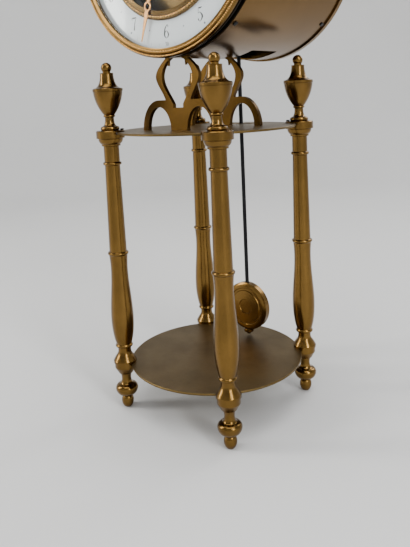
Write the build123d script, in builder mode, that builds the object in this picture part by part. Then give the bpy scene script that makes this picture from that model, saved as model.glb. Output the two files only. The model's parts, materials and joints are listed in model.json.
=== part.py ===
from build123d import *
from math import atan2, cos, degrees, hypot, pi, radians, sin, sqrt, tan
import os

# A four-column portico clock: two round plates clipped into four turned columns,
# a pair of sawn brackets on the upper plate, and a drum that holds the movement.
# Millimetres. X runs to the right seen from the dial, Y to the back, Z up.
# The origin is on the floor, midway between the four feet.

# Portico
column_spacing = 90.0
plate_radius = 59.3
plate_thickness = 1.4
base_plate_level = 31.3
top_plate_level = 190.3
kerf_clearance = 0.1
kerf_reach = 0.2
bore_clearance = 0.05

# Turned feet
toe_radius = 4.2
toe_flat_radius = 2.4
toe_neck_radius = 2.9
toe_height = 8.4
bun_radius = 7.7
bun_height = 9.0
foot_stem_radius = 3.3
foot_stem_flare = 4.1
foot_height = 25.0

# Turned columns
base_heel_radius = 4.9
base_drum_radius = 7.3
base_chamfer_height = 4.2
base_lip_radius = 7.9
base_lip_height = 1.5
base_ogee_height = 7.0
base_neck_radius = 4.4
base_neck_height = 2.6
low_ring_radius = 5.95
ring_height = 1.9
shaft_start_radius = 5.3
shaft_belly_radius = 7.65
shaft_waist_radius = 6.3
middle_ring_level = 110.0
middle_ring_radius = 7.05
upper_shaft_low_radius = 5.9
upper_shaft_high_radius = 5.05
top_ring_level = 171.0
top_ring_radius = 6.2
capital_neck_radius = 5.15
echinus_level = 182.8
echinus_step_radius = 6.3
echinus_radius = 8.1
echinus_height = 4.6
abacus_radius = 9.4
abacus_height = 5.6

# Urn finials
urn_foot_radius = 6.2
urn_foot_height = 2.6
urn_neck_radius = 3.0
urn_neck_height = 6.1
urn_waist_radius = 3.9
urn_waist_height = 1.4
urn_bowl_radius = 9.6
urn_bowl_height = 15.1
urn_rim_radius = 9.9
urn_rim_height = 2.2
urn_lid_shoulder_radius = 5.6
urn_lid_shoulder_height = 2.9
urn_lid_top_radius = 4.3
urn_lid_height = 6.2
urn_collar_height = 0.9
urn_ball_neck_radius = 2.6
urn_ball_neck_height = 0.9
urn_ball_radius = 3.45

# Studs and small screws of the portico
stud_radius = 1.5
stud_length = 7.0
stud_slack = 0.5
small_screw_radius = 0.7
small_head_radius = 1.2
small_head_height = 0.9
capital_screw_inset = 7.8
base_screw_inset = 6.3
base_screw_pocket = 1.6
capital_screw_depth = 2.2
base_screw_depth = 2.0

# Brackets
bracket_thickness = 2.9
front_bracket_face = -27.0
rear_bracket_face = 17.5
bracket_leg_spread = 31.8
bracket_leg_width = 4.7
bracket_foot_width = 13.8
bracket_arch_height = 15.0
bracket_shoulder_height = 19.4
bracket_notch_width = 8.4
bracket_notch_height = 14.4
bracket_belly_spread = 18.0
bracket_arm_width = 5.1
bracket_head_spread = 9.2
bracket_head_width = 4.6
bracket_screw_depth = 5.0
drum_screw_radius = 0.8
drum_screw_head_radius = 1.6
drum_screw_head_height = 1.2
drum_screw_head_gap = 0.3
drum_screw_depth = 5.0

# Drum
drum_axis_level = 308.0
drum_radius = 70.9
drum_wall = 1.2
drum_front = -28.4
drum_back = 72.9
slot_front = 23.0
slot_back = 54.0
slot_half_width = 23.5
fit_gap = 0.1

# Front ring, dial and bezel
neck_step = 1.9
neck_radius = drum_radius - neck_step
neck_depth = 6.6
neck_fillet = 1.0
neck_fillet_radius = neck_radius + neck_fillet
neck_wall = 1.8
spigot_depth = 6.0
dial_setback = 0.75
dial_play = 1.3
dial_front = drum_front - neck_depth + dial_setback
dial_radius = neck_radius - neck_wall - dial_play
dial_hole_radius = 43.7
dial_thickness = 1.5
dial_foot_radius = 1.0
dial_foot_inset = 3.1
dial_foot_circle = dial_radius - dial_foot_inset
inner_ring_radius = 48.2
inner_ring_depth = 1.9
inner_ring_wall = 1.2
bezel_overhang = 0.2
bezel_width = 5.9
bezel_radius = drum_radius + bezel_overhang
bezel_opening_radius = bezel_radius - bezel_width
bezel_depth = 2.7
bezel_lip = 0.5
bezel_gap = 0.2
rebate_width = 1.7
rebate_radius = bezel_opening_radius + rebate_width
glass_rise = 9.0
glass_thickness = 0.8
retainer_width = 1.4
hinge_offset = 1.9
hinge_radius = 1.5
hinge_pin_radius = 0.7
hinge_length = 16.0
hinge_middle_length = 6.0
hinge_gap = 0.2
thumb_length = 8.0
thumb_reach = 2.2
ring_screw_radius = 0.9
ring_screw_head_radius = 1.5
ring_screw_head_height = 0.7
ring_screw_depth = 1.8
ring_screw_inset = 3.6
front_ring_turns = (40, 135, 225, 320)
rear_ring_turns = (45, 135, 225, 315)
ring_shoulder = 0.6
hinge_leaf = 1.6

# Back of the drum
rear_rim_overhang = 1.1
rear_rim_width = 10.0
rear_rim_radius = drum_radius + rear_rim_overhang
rear_rim_inner_radius = rear_rim_radius - rear_rim_width
rear_rim_depth = 3.6
rear_spigot_depth = 6.0
rear_spigot_wall = 2.0
cover_inset = 4.5
cover_radius = rear_rim_radius - cover_inset
cover_thickness = 1.2
cover_dish = 0.8
cover_gap = 0.1
cover_knob_radius = 3.0
cover_knob_height = 5.0
cover_hinge_radius = 1.3
latch_reach = 56.5
latch_length = 17.0
latch_thickness = 1.4
latch_stem_radius = 1.4

# Movement
seat_ring_thickness = 1.8
seat_ring_hole = 44.5
movement_plate_radius = 50.0
movement_screw_circle = 47.3
movement_plate_thickness = 2.0
movement_gap = 46.0
pillar_radius = 2.6
pillar_circle = 46.0
pillar_angle = 52.0
pillar_tenon_radius = 1.5
pillar_nut_radius = 3.0
pillar_nut_height = 1.6
pivot_radius = 0.6
pivot_clearance = 0.05
arbor_radius = 1.0
arbor_end_shake = 0.3
train_module = 0.5
barrel_module = 0.6
mesh_slack = 0.15
wheel_thickness = 1.5
rim_width = 2.2
hub_radius = 3.2
spoke_width = 1.8
centre_wheel_teeth = 84
centre_pinion_teeth = 14
second_wheel_teeth = 84
second_pinion_teeth = 12
great_wheel_teeth = 72
third_wheel_teeth = 70
third_pinion_teeth = 7
escape_pinion_teeth = 7
escape_teeth = 28
escape_radius = 9.5
escape_tooth_height = 2.2
pallet_span_teeth = 7.5
pallet_thickness = 0.4
pallet_lift_clear = 0.15
barrel_distance = 24.0
barrel_radius = 17.5
barrel_length = 18.0
barrel_wall = 1.0
barrel_arbor_radius = 2.0
winding_square = 3.4
winding_square_reach = 11.0
ratchet_radius = 8.0
ratchet_teeth = 24
ratchet_thickness = 1.5
click_reach = 12.0
click_width = 3.0

# Motion work and hands
cannon_teeth = 12
minute_wheel_teeth = 36
minute_pinion_teeth = 10
hour_wheel_teeth = 40
cannon_radius = 2.3
cannon_bore = 1.05
hour_pipe_radius = 3.3
hour_pipe_bore = 2.4
motion_post_radius = 0.9
minute_hand_inset = 3.1
minute_hand_length = dial_radius - minute_hand_inset
hour_hand_length = 41.0
hand_thickness = 0.5
hour_hand_rise = 1.55
hand_pitch = 1.0
hour_hand_front = dial_front - hour_hand_rise
minute_hand_front = hour_hand_front - hand_pitch
minute_shown = 33.0
hour_shown = 10.0

# Pendulum
pendulum_plane = 40.0
pendulum_pivot_rise = 40.0
rod_radius = 1.4
bob_level = 55.8
bob_radius = 17.8
bob_thickness = 7.0
bob_edge = 4.2
nut_radius = 3.4
nut_height = 2.4
rod_tail = 3.0
spring_width = 4.4
spring_thickness = 0.16
spring_length = 8.2
spring_gap = 0.2
chop_width = 5.4
chop_depth = 3.0
chop_height = 5.0
cock_span = 34.0
cock_width = 9.0
cock_height = 8.0
cock_leg = 5.0
cock_bar = 2.5
cock_pin_radius = 0.6
crutch_length = 43.0
crutch_width = 3.2
crutch_thickness = 1.2
crutch_fork_width = 8.0
crutch_fork_height = 3.0
crutch_slack = 0.15
plate_slot_length = 26.0
plate_slot_width = 6.0

# Places worked out from the sizes above
half_spacing = column_spacing / 2
corner_distance = half_spacing * sqrt(2)
kerf_edge = plate_radius + kerf_reach - corner_distance
top_plate_top = top_plate_level + plate_thickness
column_top = echinus_level + echinus_height + abacus_height
drum_inner_radius = drum_radius - drum_wall
drum_bottom = drum_axis_level - drum_radius
neck_front = drum_front - neck_depth
dial_back = dial_front + dial_thickness
spigot_back = drum_front + spigot_depth
bezel_back = neck_front - bezel_gap
bezel_front = bezel_back - bezel_depth
hinge_x = -(bezel_radius + hinge_offset)
hinge_y = bezel_back
seat_back = spigot_back + seat_ring_thickness
front_plate_back = seat_back + movement_plate_thickness
back_plate_front = front_plate_back + movement_gap
back_plate_back = back_plate_front + movement_plate_thickness
rim_back = drum_back + rear_rim_depth
cover_front = rim_back + cover_gap
cover_back = cover_front + cover_thickness
cover_hinge_x = -(cover_radius + cover_hinge_radius + hinge_gap)
cover_hinge_y = cover_front + cover_hinge_radius
pivot_level = drum_axis_level + pendulum_pivot_rise

front_screw_level = drum_front + ring_screw_inset
rear_screw_level = drum_back - ring_screw_inset
ring_screw_rows = ((front_screw_level, front_ring_turns), (rear_screw_level, rear_ring_turns))
drum_screw_turn = degrees(atan2(bracket_head_spread - bracket_head_width / 2, drum_radius))
drum_screw_turns = (drum_screw_turn, -drum_screw_turn)

# Where the arbors stand, to the right of and above the dial's centre
escape_half_span = pallet_span_teeth * pi / escape_teeth
escape_drop = escape_radius / cos(escape_half_span)
escape_place = (0.0, pendulum_pivot_rise - escape_drop)
barrel_place = (0.0, -barrel_distance)
third_reach = train_module * (centre_wheel_teeth + third_pinion_teeth) / 2 + mesh_slack
third_to_escape = train_module * (third_wheel_teeth + escape_pinion_teeth) / 2 + mesh_slack
second_reach = train_module * (second_wheel_teeth + centre_pinion_teeth) / 2 + mesh_slack
second_to_barrel = barrel_module * (great_wheel_teeth + second_pinion_teeth) / 2 + mesh_slack
motion_reach = train_module * (cannon_teeth + minute_wheel_teeth) / 2 + mesh_slack
motion_module = 2 * (motion_reach - mesh_slack) / (minute_pinion_teeth + hour_wheel_teeth)


def meeting_place(other, reach, other_reach, side):
    """The point at one distance from the centre and another from a second arbor."""
    along = hypot(*other)
    run = (reach ** 2 - other_reach ** 2 + along ** 2) / (2 * along)
    off = side * sqrt(reach ** 2 - run ** 2)
    ux = other[0] / along
    uz = other[1] / along
    return (run * ux + off * uz, run * uz - off * ux)


third_place = meeting_place(escape_place, third_reach, third_to_escape, -1)
second_place = meeting_place(barrel_place, second_reach, second_to_barrel, -1)
minute_place = (motion_reach * cos(radians(60)), motion_reach * sin(radians(60)))

# Depths of the wheels between the plates, measured back from the front plate
great_wheel_depth = 3.0
barrel_start = great_wheel_depth + wheel_thickness
second_wheel_depth = barrel_start + barrel_length + 3.5
centre_wheel_depth = second_wheel_depth + wheel_thickness + 4.5
third_wheel_depth = 17.0
escape_wheel_depth = centre_wheel_depth + wheel_thickness + 6.0

os.makedirs("parts", exist_ok=True)


def keep(shape, name):
    """Names a finished piece and writes it."""
    shape.part.label = name
    export_step(shape.part, f"parts/{name}.step")


def facing(y, place=(0.0, 0.0)):
    """A plane across the drum: its X is the clock's, its Y is up, and it faces the front."""
    return Plane(
        origin=(place[0], y, drum_axis_level + place[1]), x_dir=(1, 0, 0), z_dir=(0, -1, 0)
    )


def upright(stand):
    """The vertical plane through a column's axis, with its X pointing outwards."""
    outward = stand.x_dir
    return Plane(origin=stand.origin, x_dir=outward, z_dir=outward.cross(Vector(0, 0, 1)))


def clock_axis():
    """The axis of the drum, running to the back."""
    return Axis((0, 0, drum_axis_level), (0, 1, 0))


def drum_ray(turn, y, reach):
    """A plane square to a radius of the drum, turned from straight down towards the right."""
    outward = Vector(sin(radians(turn)), 0, -cos(radians(turn)))
    hub = Vector(0, y, drum_axis_level)
    return Plane(origin=hub + outward * reach, x_dir=(0, 1, 0), z_dir=outward)


def side_section():
    """The plane of the drum's half section: its X is the radius upwards, its Y runs to the back."""
    return Plane(origin=(0, 0, drum_axis_level), x_dir=(0, 0, 1), z_dir=(-1, 0, 0))


def ring(inner, outer, front, back):
    """Adds a plain ring about the drum's axis to the section being drawn."""
    with Locations(((inner + outer) / 2, (front + back) / 2)):
        Rectangle(outer - inner, back - front)


# Feet, columns and finials, one of each at every corner


def turned_foot(stand):
    """A ball toe under a bun, with a stem that flares into the column."""
    bun_middle = toe_height + 0.62 * bun_height
    with BuildPart() as foot:
        with BuildSketch(upright(stand)):
            with BuildLine():
                Line((0, 0), (toe_flat_radius, 0))
                ThreePointArc(
                    (toe_flat_radius, 0),
                    (toe_radius, toe_height * 0.5),
                    (toe_neck_radius, toe_height),
                )
                ThreePointArc(
                    (toe_neck_radius, toe_height),
                    (bun_radius * 0.86, toe_height + 0.24 * bun_height),
                    (bun_radius, bun_middle),
                )
                ThreePointArc(
                    (bun_radius, bun_middle),
                    (bun_radius * 0.93, toe_height + 0.8 * bun_height),
                    (bun_radius * 0.7, toe_height + 0.93 * bun_height),
                )
                Spline(
                    (bun_radius * 0.7, toe_height + 0.93 * bun_height),
                    (foot_stem_radius, toe_height + bun_height + 2.6),
                    (foot_stem_flare, foot_height),
                    tangents=((-1, 0.25), (0.35, 1)),
                )
                Line((foot_stem_flare, foot_height), (0, foot_height))
                Line((0, foot_height), (0, 0))
            make_face()
        revolve(axis=Axis(stand.origin, (0, 0, 1)))
        with BuildSketch(stand.offset(foot_height)):
            Circle(stud_radius)
        extrude(amount=stud_length)
    return foot


def turned_column(stand):
    """Base drum with its ogee, a shaft in two lengths, and a capital with a round abacus."""
    lip_level = base_plate_level + plate_thickness + kerf_clearance
    lip_top = lip_level + base_lip_height
    ogee_top = lip_top + base_ogee_height
    neck_top = ogee_top + base_neck_height
    low_ring_top = neck_top + ring_height
    middle_low = middle_ring_level - ring_height / 2
    middle_top = middle_ring_level + ring_height / 2
    top_low = top_ring_level - ring_height / 2
    top_high = top_ring_level + ring_height / 2
    abacus_level = echinus_level + echinus_height
    with BuildPart() as column:
        with BuildSketch(upright(stand)):
            with BuildLine():
                Polyline(
                    (0, foot_height),
                    (base_heel_radius, foot_height),
                    (base_drum_radius, foot_height + base_chamfer_height),
                    (base_drum_radius, lip_level - 0.3),
                    (base_lip_radius, lip_level),
                    (base_lip_radius, lip_top),
                )
                Spline(
                    (base_lip_radius, lip_top),
                    (base_lip_radius * 0.82, lip_top + base_ogee_height * 0.36),
                    (base_neck_radius, ogee_top),
                    tangents=((-0.6, 1), (0, 1)),
                )
                Line((base_neck_radius, ogee_top), (base_neck_radius, neck_top))
                Line((base_neck_radius, neck_top), (low_ring_radius - 0.5, neck_top))
                ThreePointArc(
                    (low_ring_radius - 0.5, neck_top),
                    (low_ring_radius, neck_top + ring_height / 2),
                    (low_ring_radius - 0.5, low_ring_top),
                )
                Line((low_ring_radius - 0.5, low_ring_top), (shaft_start_radius, low_ring_top + 0.3))
                Spline(
                    (shaft_start_radius, low_ring_top + 0.3),
                    (shaft_belly_radius * 0.965, low_ring_top + 11.5),
                    (shaft_belly_radius, low_ring_top + 22.0),
                    (shaft_waist_radius, middle_low - 0.3),
                )
                Line((shaft_waist_radius, middle_low - 0.3), (middle_ring_radius - 0.5, middle_low))
                ThreePointArc(
                    (middle_ring_radius - 0.5, middle_low),
                    (middle_ring_radius, middle_ring_level),
                    (middle_ring_radius - 0.5, middle_top),
                )
                Polyline(
                    (middle_ring_radius - 0.5, middle_top),
                    (upper_shaft_low_radius, middle_top + 0.3),
                    (upper_shaft_high_radius, top_low - 0.3),
                    (top_ring_radius - 0.5, top_low),
                )
                ThreePointArc(
                    (top_ring_radius - 0.5, top_low),
                    (top_ring_radius, top_ring_level),
                    (top_ring_radius - 0.5, top_high),
                )
                Polyline(
                    (top_ring_radius - 0.5, top_high),
                    (capital_neck_radius, top_high + 0.3),
                    (capital_neck_radius, echinus_level - 0.4),
                    (echinus_step_radius, echinus_level),
                    (echinus_step_radius, echinus_level + 1.1),
                )
                ThreePointArc(
                    (echinus_step_radius, echinus_level + 1.1),
                    (echinus_radius * 0.94, echinus_level + echinus_height * 0.55),
                    (echinus_radius, abacus_level),
                )
                Polyline(
                    (echinus_radius, abacus_level),
                    (abacus_radius, abacus_level + 0.5),
                    (abacus_radius, column_top - 0.6),
                    (abacus_radius - 0.6, column_top),
                    (0, column_top),
                    (0, foot_height),
                )
            make_face()
        revolve(axis=Axis(stand.origin, (0, 0, 1)))
        for level in (base_plate_level, top_plate_level):
            with BuildSketch(stand.offset(level)):
                with Locations((kerf_edge - abacus_radius, 0)):
                    Rectangle(2 * abacus_radius, 3 * abacus_radius)
            extrude(amount=plate_thickness + kerf_clearance, mode=Mode.SUBTRACT)
        with BuildSketch(stand.offset(foot_height)):
            Circle(stud_radius + bore_clearance)
        extrude(amount=stud_length + stud_slack, mode=Mode.SUBTRACT)
        with BuildSketch(stand.offset(column_top)):
            Circle(stud_radius + bore_clearance)
        extrude(amount=-stud_length - stud_slack, mode=Mode.SUBTRACT)
        with BuildSketch(stand.offset(column_top)):
            with Locations((-capital_screw_inset, 0)):
                Circle(small_screw_radius + bore_clearance)
        extrude(amount=top_plate_level - capital_screw_depth - column_top, mode=Mode.SUBTRACT)
        with BuildSketch(stand.offset(foot_height)):
            with Locations((-base_screw_inset, 0)):
                Circle(small_head_radius + bore_clearance)
        extrude(amount=base_plate_level - base_screw_pocket - foot_height, mode=Mode.SUBTRACT)
        with BuildSketch(stand.offset(foot_height)):
            with Locations((-base_screw_inset, 0)):
                Circle(small_screw_radius + bore_clearance)
        extrude(amount=lip_level + base_screw_depth - foot_height, mode=Mode.SUBTRACT)
    return column


def turned_finial(stand):
    """A lidded urn with a ball on top and a stud underneath."""
    foot_top = column_top + urn_foot_height
    waist_level = foot_top + urn_neck_height
    bowl_level = waist_level + urn_waist_height
    rim_level = bowl_level + urn_bowl_height
    lid_level = rim_level + urn_rim_height
    shoulder_level = lid_level + urn_lid_shoulder_height
    collar_level = shoulder_level + urn_lid_height
    neck_level = collar_level + urn_collar_height
    ball_start = neck_level + urn_ball_neck_height
    ball_level = ball_start + sqrt(urn_ball_radius ** 2 - urn_ball_neck_radius ** 2)
    with BuildPart() as finial:
        with BuildSketch(upright(stand)):
            with BuildLine():
                Line((0, column_top), (urn_foot_radius - 0.6, column_top))
                ThreePointArc(
                    (urn_foot_radius - 0.6, column_top),
                    (urn_foot_radius, column_top + urn_foot_height / 2),
                    (urn_foot_radius - 0.8, foot_top),
                )
                Spline(
                    (urn_foot_radius - 0.8, foot_top),
                    (urn_neck_radius + 0.2, foot_top + urn_neck_height * 0.42),
                    (urn_neck_radius, waist_level - 0.3),
                    tangents=((-1, 0.15), (0, 1)),
                )
                Line((urn_neck_radius, waist_level - 0.3), (urn_waist_radius - 0.4, waist_level))
                ThreePointArc(
                    (urn_waist_radius - 0.4, waist_level),
                    (urn_waist_radius, waist_level + urn_waist_height / 2),
                    (urn_waist_radius - 0.4, bowl_level),
                )
                ThreePointArc(
                    (urn_waist_radius - 0.4, bowl_level),
                    (urn_bowl_radius * 0.79, bowl_level + urn_bowl_height * 0.46),
                    (urn_bowl_radius, rim_level),
                )
                Polyline(
                    (urn_bowl_radius, rim_level),
                    (urn_rim_radius, rim_level + 0.2),
                    (urn_rim_radius, lid_level - 0.4),
                    (urn_rim_radius - 0.5, lid_level),
                )
                Spline(
                    (urn_rim_radius - 0.5, lid_level),
                    (urn_lid_shoulder_radius, shoulder_level),
                    (urn_lid_top_radius, collar_level),
                    tangents=((-1, 0.12), (-0.08, 1)),
                )
                Polyline(
                    (urn_lid_top_radius, collar_level),
                    (urn_lid_top_radius + 0.15, collar_level + 0.2),
                    (urn_lid_top_radius + 0.15, neck_level - 0.2),
                    (urn_ball_neck_radius, neck_level),
                    (urn_ball_neck_radius, ball_start),
                )
                ThreePointArc(
                    (urn_ball_neck_radius, ball_start),
                    (urn_ball_radius, ball_level),
                    (0, ball_level + urn_ball_radius),
                )
                Line((0, ball_level + urn_ball_radius), (0, column_top))
            make_face()
        revolve(axis=Axis(stand.origin, (0, 0, 1)))
        with BuildSketch(stand.offset(column_top)):
            Circle(stud_radius)
        extrude(amount=-stud_length)
    return finial


corners = {
    "front_left": (-1, -1),
    "front_right": (1, -1),
    "rear_right": (1, 1),
    "rear_left": (-1, 1),
}
stands = {
    corner: Plane(
        origin=(side * half_spacing, depth * half_spacing, 0),
        x_dir=(side, depth, 0),
        z_dir=(0, 0, 1),
    )
    for corner, (side, depth) in corners.items()
}
for corner, stand in stands.items():
    keep(turned_foot(stand), f"{corner}_foot")
    keep(turned_column(stand), f"{corner}_column")
    keep(turned_finial(stand), f"{corner}_finial")

# The two round plates

corner_angles = [45, 135, 225, 315]
bracket_faces = (front_bracket_face, rear_bracket_face)
bracket_screw_spots = [
    (x, face + bracket_thickness / 2)
    for face in bracket_faces
    for x in (0, bracket_leg_spread - bracket_leg_width / 2, bracket_leg_width / 2 - bracket_leg_spread)
]

with BuildPart() as base_plate:
    with BuildSketch(Plane.XY.offset(base_plate_level)):
        Circle(plate_radius)
        for angle in corner_angles:
            with PolarLocations(corner_distance - base_screw_inset, 1, start_angle=angle):
                Circle(small_screw_radius + bore_clearance, mode=Mode.SUBTRACT)
    extrude(amount=plate_thickness)
    chamfer(base_plate.edges().filter_by(GeomType.CIRCLE).sort_by(SortBy.RADIUS)[-2:], 0.25)
keep(base_plate, "base_plate")

with BuildPart() as top_plate:
    with BuildSketch(Plane.XY.offset(top_plate_level)):
        Circle(plate_radius)
        for angle in corner_angles:
            with PolarLocations(corner_distance - capital_screw_inset, 1, start_angle=angle):
                Circle(small_screw_radius + bore_clearance, mode=Mode.SUBTRACT)
        with Locations(*bracket_screw_spots):
            Circle(small_screw_radius + bore_clearance, mode=Mode.SUBTRACT)
        with Locations((0, pendulum_plane)):
            SlotOverall(plate_slot_length, plate_slot_width, mode=Mode.SUBTRACT)
    extrude(amount=plate_thickness)
    chamfer(top_plate.edges().filter_by(GeomType.CIRCLE).sort_by(SortBy.RADIUS)[-2:], 0.25)
keep(top_plate, "top_plate")

with BuildPart() as capital_screws:
    for stand in stands.values():
        with BuildSketch(stand.offset(column_top)):
            with Locations((-capital_screw_inset, 0)):
                Circle(small_head_radius)
        extrude(amount=small_head_height)
        with BuildSketch(stand.offset(column_top)):
            with Locations((-capital_screw_inset, 0)):
                Circle(small_screw_radius)
        extrude(amount=top_plate_level - capital_screw_depth - column_top)
keep(capital_screws, "capital_screws")

with BuildPart() as base_screws:
    for stand in stands.values():
        pocket_top = base_plate_level - base_screw_pocket
        with BuildSketch(stand.offset(pocket_top)):
            with Locations((-base_screw_inset, 0)):
                Circle(small_head_radius)
        extrude(amount=-small_head_height)
        with BuildSketch(stand.offset(pocket_top)):
            with Locations((-base_screw_inset, 0)):
                Circle(small_screw_radius)
        extrude(amount=base_screw_pocket + plate_thickness + kerf_clearance + base_screw_depth)
keep(base_screws, "base_screws")


# The sawn brackets under the drum


def sawn_bracket(face):
    """A lyre: a flat foot and two outer legs joined by arches, and two arms up to the drum."""
    rise = drum_bottom - top_plate_top
    leg_inner = bracket_leg_spread - bracket_leg_width
    foot_edge = bracket_foot_width / 2
    arch_middle = (leg_inner + foot_edge) / 2
    notch_edge = bracket_notch_width / 2
    belly_level = bracket_shoulder_height + (rise - bracket_shoulder_height) * 0.59
    head_inner = bracket_head_spread - bracket_head_width
    belly_inner = bracket_belly_spread - bracket_arm_width
    sheet = Plane(origin=(0, face + bracket_thickness, top_plate_top), x_dir=(1, 0, 0), z_dir=(0, -1, 0))
    with BuildPart() as bracket:
        with BuildSketch(sheet):
            with BuildLine():
                Line((0, 0), (foot_edge, 0))
                EllipticalCenterArc(
                    (arch_middle, 0),
                    (leg_inner - foot_edge) / 2,
                    bracket_arch_height,
                    start_angle=0,
                    arc_size=180,
                )
                Line((leg_inner, 0), (bracket_leg_spread, 0))
                EllipticalCenterArc(
                    (arch_middle, 0),
                    bracket_leg_spread - arch_middle,
                    bracket_shoulder_height,
                    start_angle=0,
                    arc_size=90,
                )
                Line((arch_middle, bracket_shoulder_height), (10.6, bracket_shoulder_height))
                Spline(
                    (10.6, bracket_shoulder_height),
                    (bracket_belly_spread - 2.5, belly_level - 6.8),
                    (bracket_belly_spread, belly_level),
                    (bracket_belly_spread - 3.2, rise - 5.0),
                    (bracket_head_spread, rise),
                )
                Polyline(
                    (bracket_head_spread, rise),
                    (bracket_head_spread, rise + 2.0),
                    (head_inner, rise + 2.0),
                    (head_inner, rise),
                )
                Spline(
                    (head_inner, rise),
                    (belly_inner - 2.2, rise - 5.2),
                    (belly_inner, belly_level - 0.5),
                    (belly_inner - 3.0, belly_level - 9.2),
                    (notch_edge, bracket_notch_height + 2.2),
                )
                Polyline(
                    (notch_edge, bracket_notch_height + 2.2),
                    (notch_edge, bracket_notch_height),
                    (0, bracket_notch_height),
                    (0, 0),
                )
            make_face()
            mirror(about=Plane.YZ)
        extrude(amount=bracket_thickness)
        with BuildSketch(facing(face - 1)):
            Circle(drum_radius)
        extrude(amount=-bracket_thickness - 2, mode=Mode.SUBTRACT)
        for x, y in bracket_screw_spots:
            if face < y < face + bracket_thickness:
                with BuildSketch(Plane(origin=(x, y, top_plate_top))):
                    Circle(small_screw_radius + bore_clearance)
                extrude(amount=bracket_screw_depth + stud_slack, mode=Mode.SUBTRACT)
        for turn in drum_screw_turns:
            with BuildSketch(drum_ray(turn, face + bracket_thickness / 2, drum_radius - 1)):
                Circle(drum_screw_radius + bore_clearance)
            extrude(amount=drum_screw_depth + stud_slack + 1, mode=Mode.SUBTRACT)
    return bracket


keep(sawn_bracket(front_bracket_face), "front_bracket")
keep(sawn_bracket(rear_bracket_face), "rear_bracket")

with BuildPart() as bracket_screws:
    for x, y in bracket_screw_spots:
        with BuildSketch(Plane(origin=(x, y, top_plate_level))):
            Circle(small_head_radius)
        extrude(amount=-small_head_height)
        with BuildSketch(Plane(origin=(x, y, top_plate_level))):
            Circle(small_screw_radius)
        extrude(amount=plate_thickness + bracket_screw_depth)
keep(bracket_screws, "bracket_screws")

with BuildPart() as drum_screws:
    for face in bracket_faces:
        for turn in drum_screw_turns:
            seat = drum_ray(turn, face + bracket_thickness / 2, drum_inner_radius - 0.02)
            with BuildSketch(seat):
                Circle(drum_screw_head_radius)
            extrude(amount=-drum_screw_head_height)
            with BuildSketch(seat):
                Circle(drum_screw_radius)
            extrude(amount=drum_wall + drum_screw_depth)
keep(drum_screws, "drum_screws")

# The drum, open at both ends

with BuildPart() as drum_case:
    with BuildSketch(facing(drum_front)):
        Circle(drum_radius)
        Circle(drum_inner_radius, mode=Mode.SUBTRACT)
    extrude(amount=drum_front - drum_back)
    with BuildSketch(Plane.XY.offset(drum_bottom - 1)):
        with Locations((0, (slot_front + slot_back) / 2)):
            RectangleRounded(2 * slot_half_width, slot_back - slot_front, 1.5)
    extrude(amount=20, mode=Mode.SUBTRACT)
    for face in bracket_faces:
        for turn in drum_screw_turns:
            with BuildSketch(drum_ray(turn, face + bracket_thickness / 2, drum_inner_radius - 1)):
                Circle(drum_screw_radius + bore_clearance)
            extrude(amount=drum_wall + 2, mode=Mode.SUBTRACT)
    for y, turns in ring_screw_rows:
        for turn in turns:
            with BuildSketch(drum_ray(turn, y, drum_inner_radius - 1)):
                Circle(ring_screw_radius + bore_clearance)
            extrude(amount=drum_wall + 2, mode=Mode.SUBTRACT)
keep(drum_case, "drum_case")

with BuildPart() as ring_screws:
    for y, turns in ring_screw_rows:
        for turn in turns:
            with BuildSketch(drum_ray(turn, y, drum_radius)):
                Circle(ring_screw_head_radius)
            extrude(amount=ring_screw_head_height)
            with BuildSketch(drum_ray(turn, y, drum_radius)):
                Circle(ring_screw_radius)
            extrude(amount=-drum_wall - ring_screw_depth)
keep(ring_screws, "ring_screws")

# Front ring, dial and its inner ring

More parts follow.
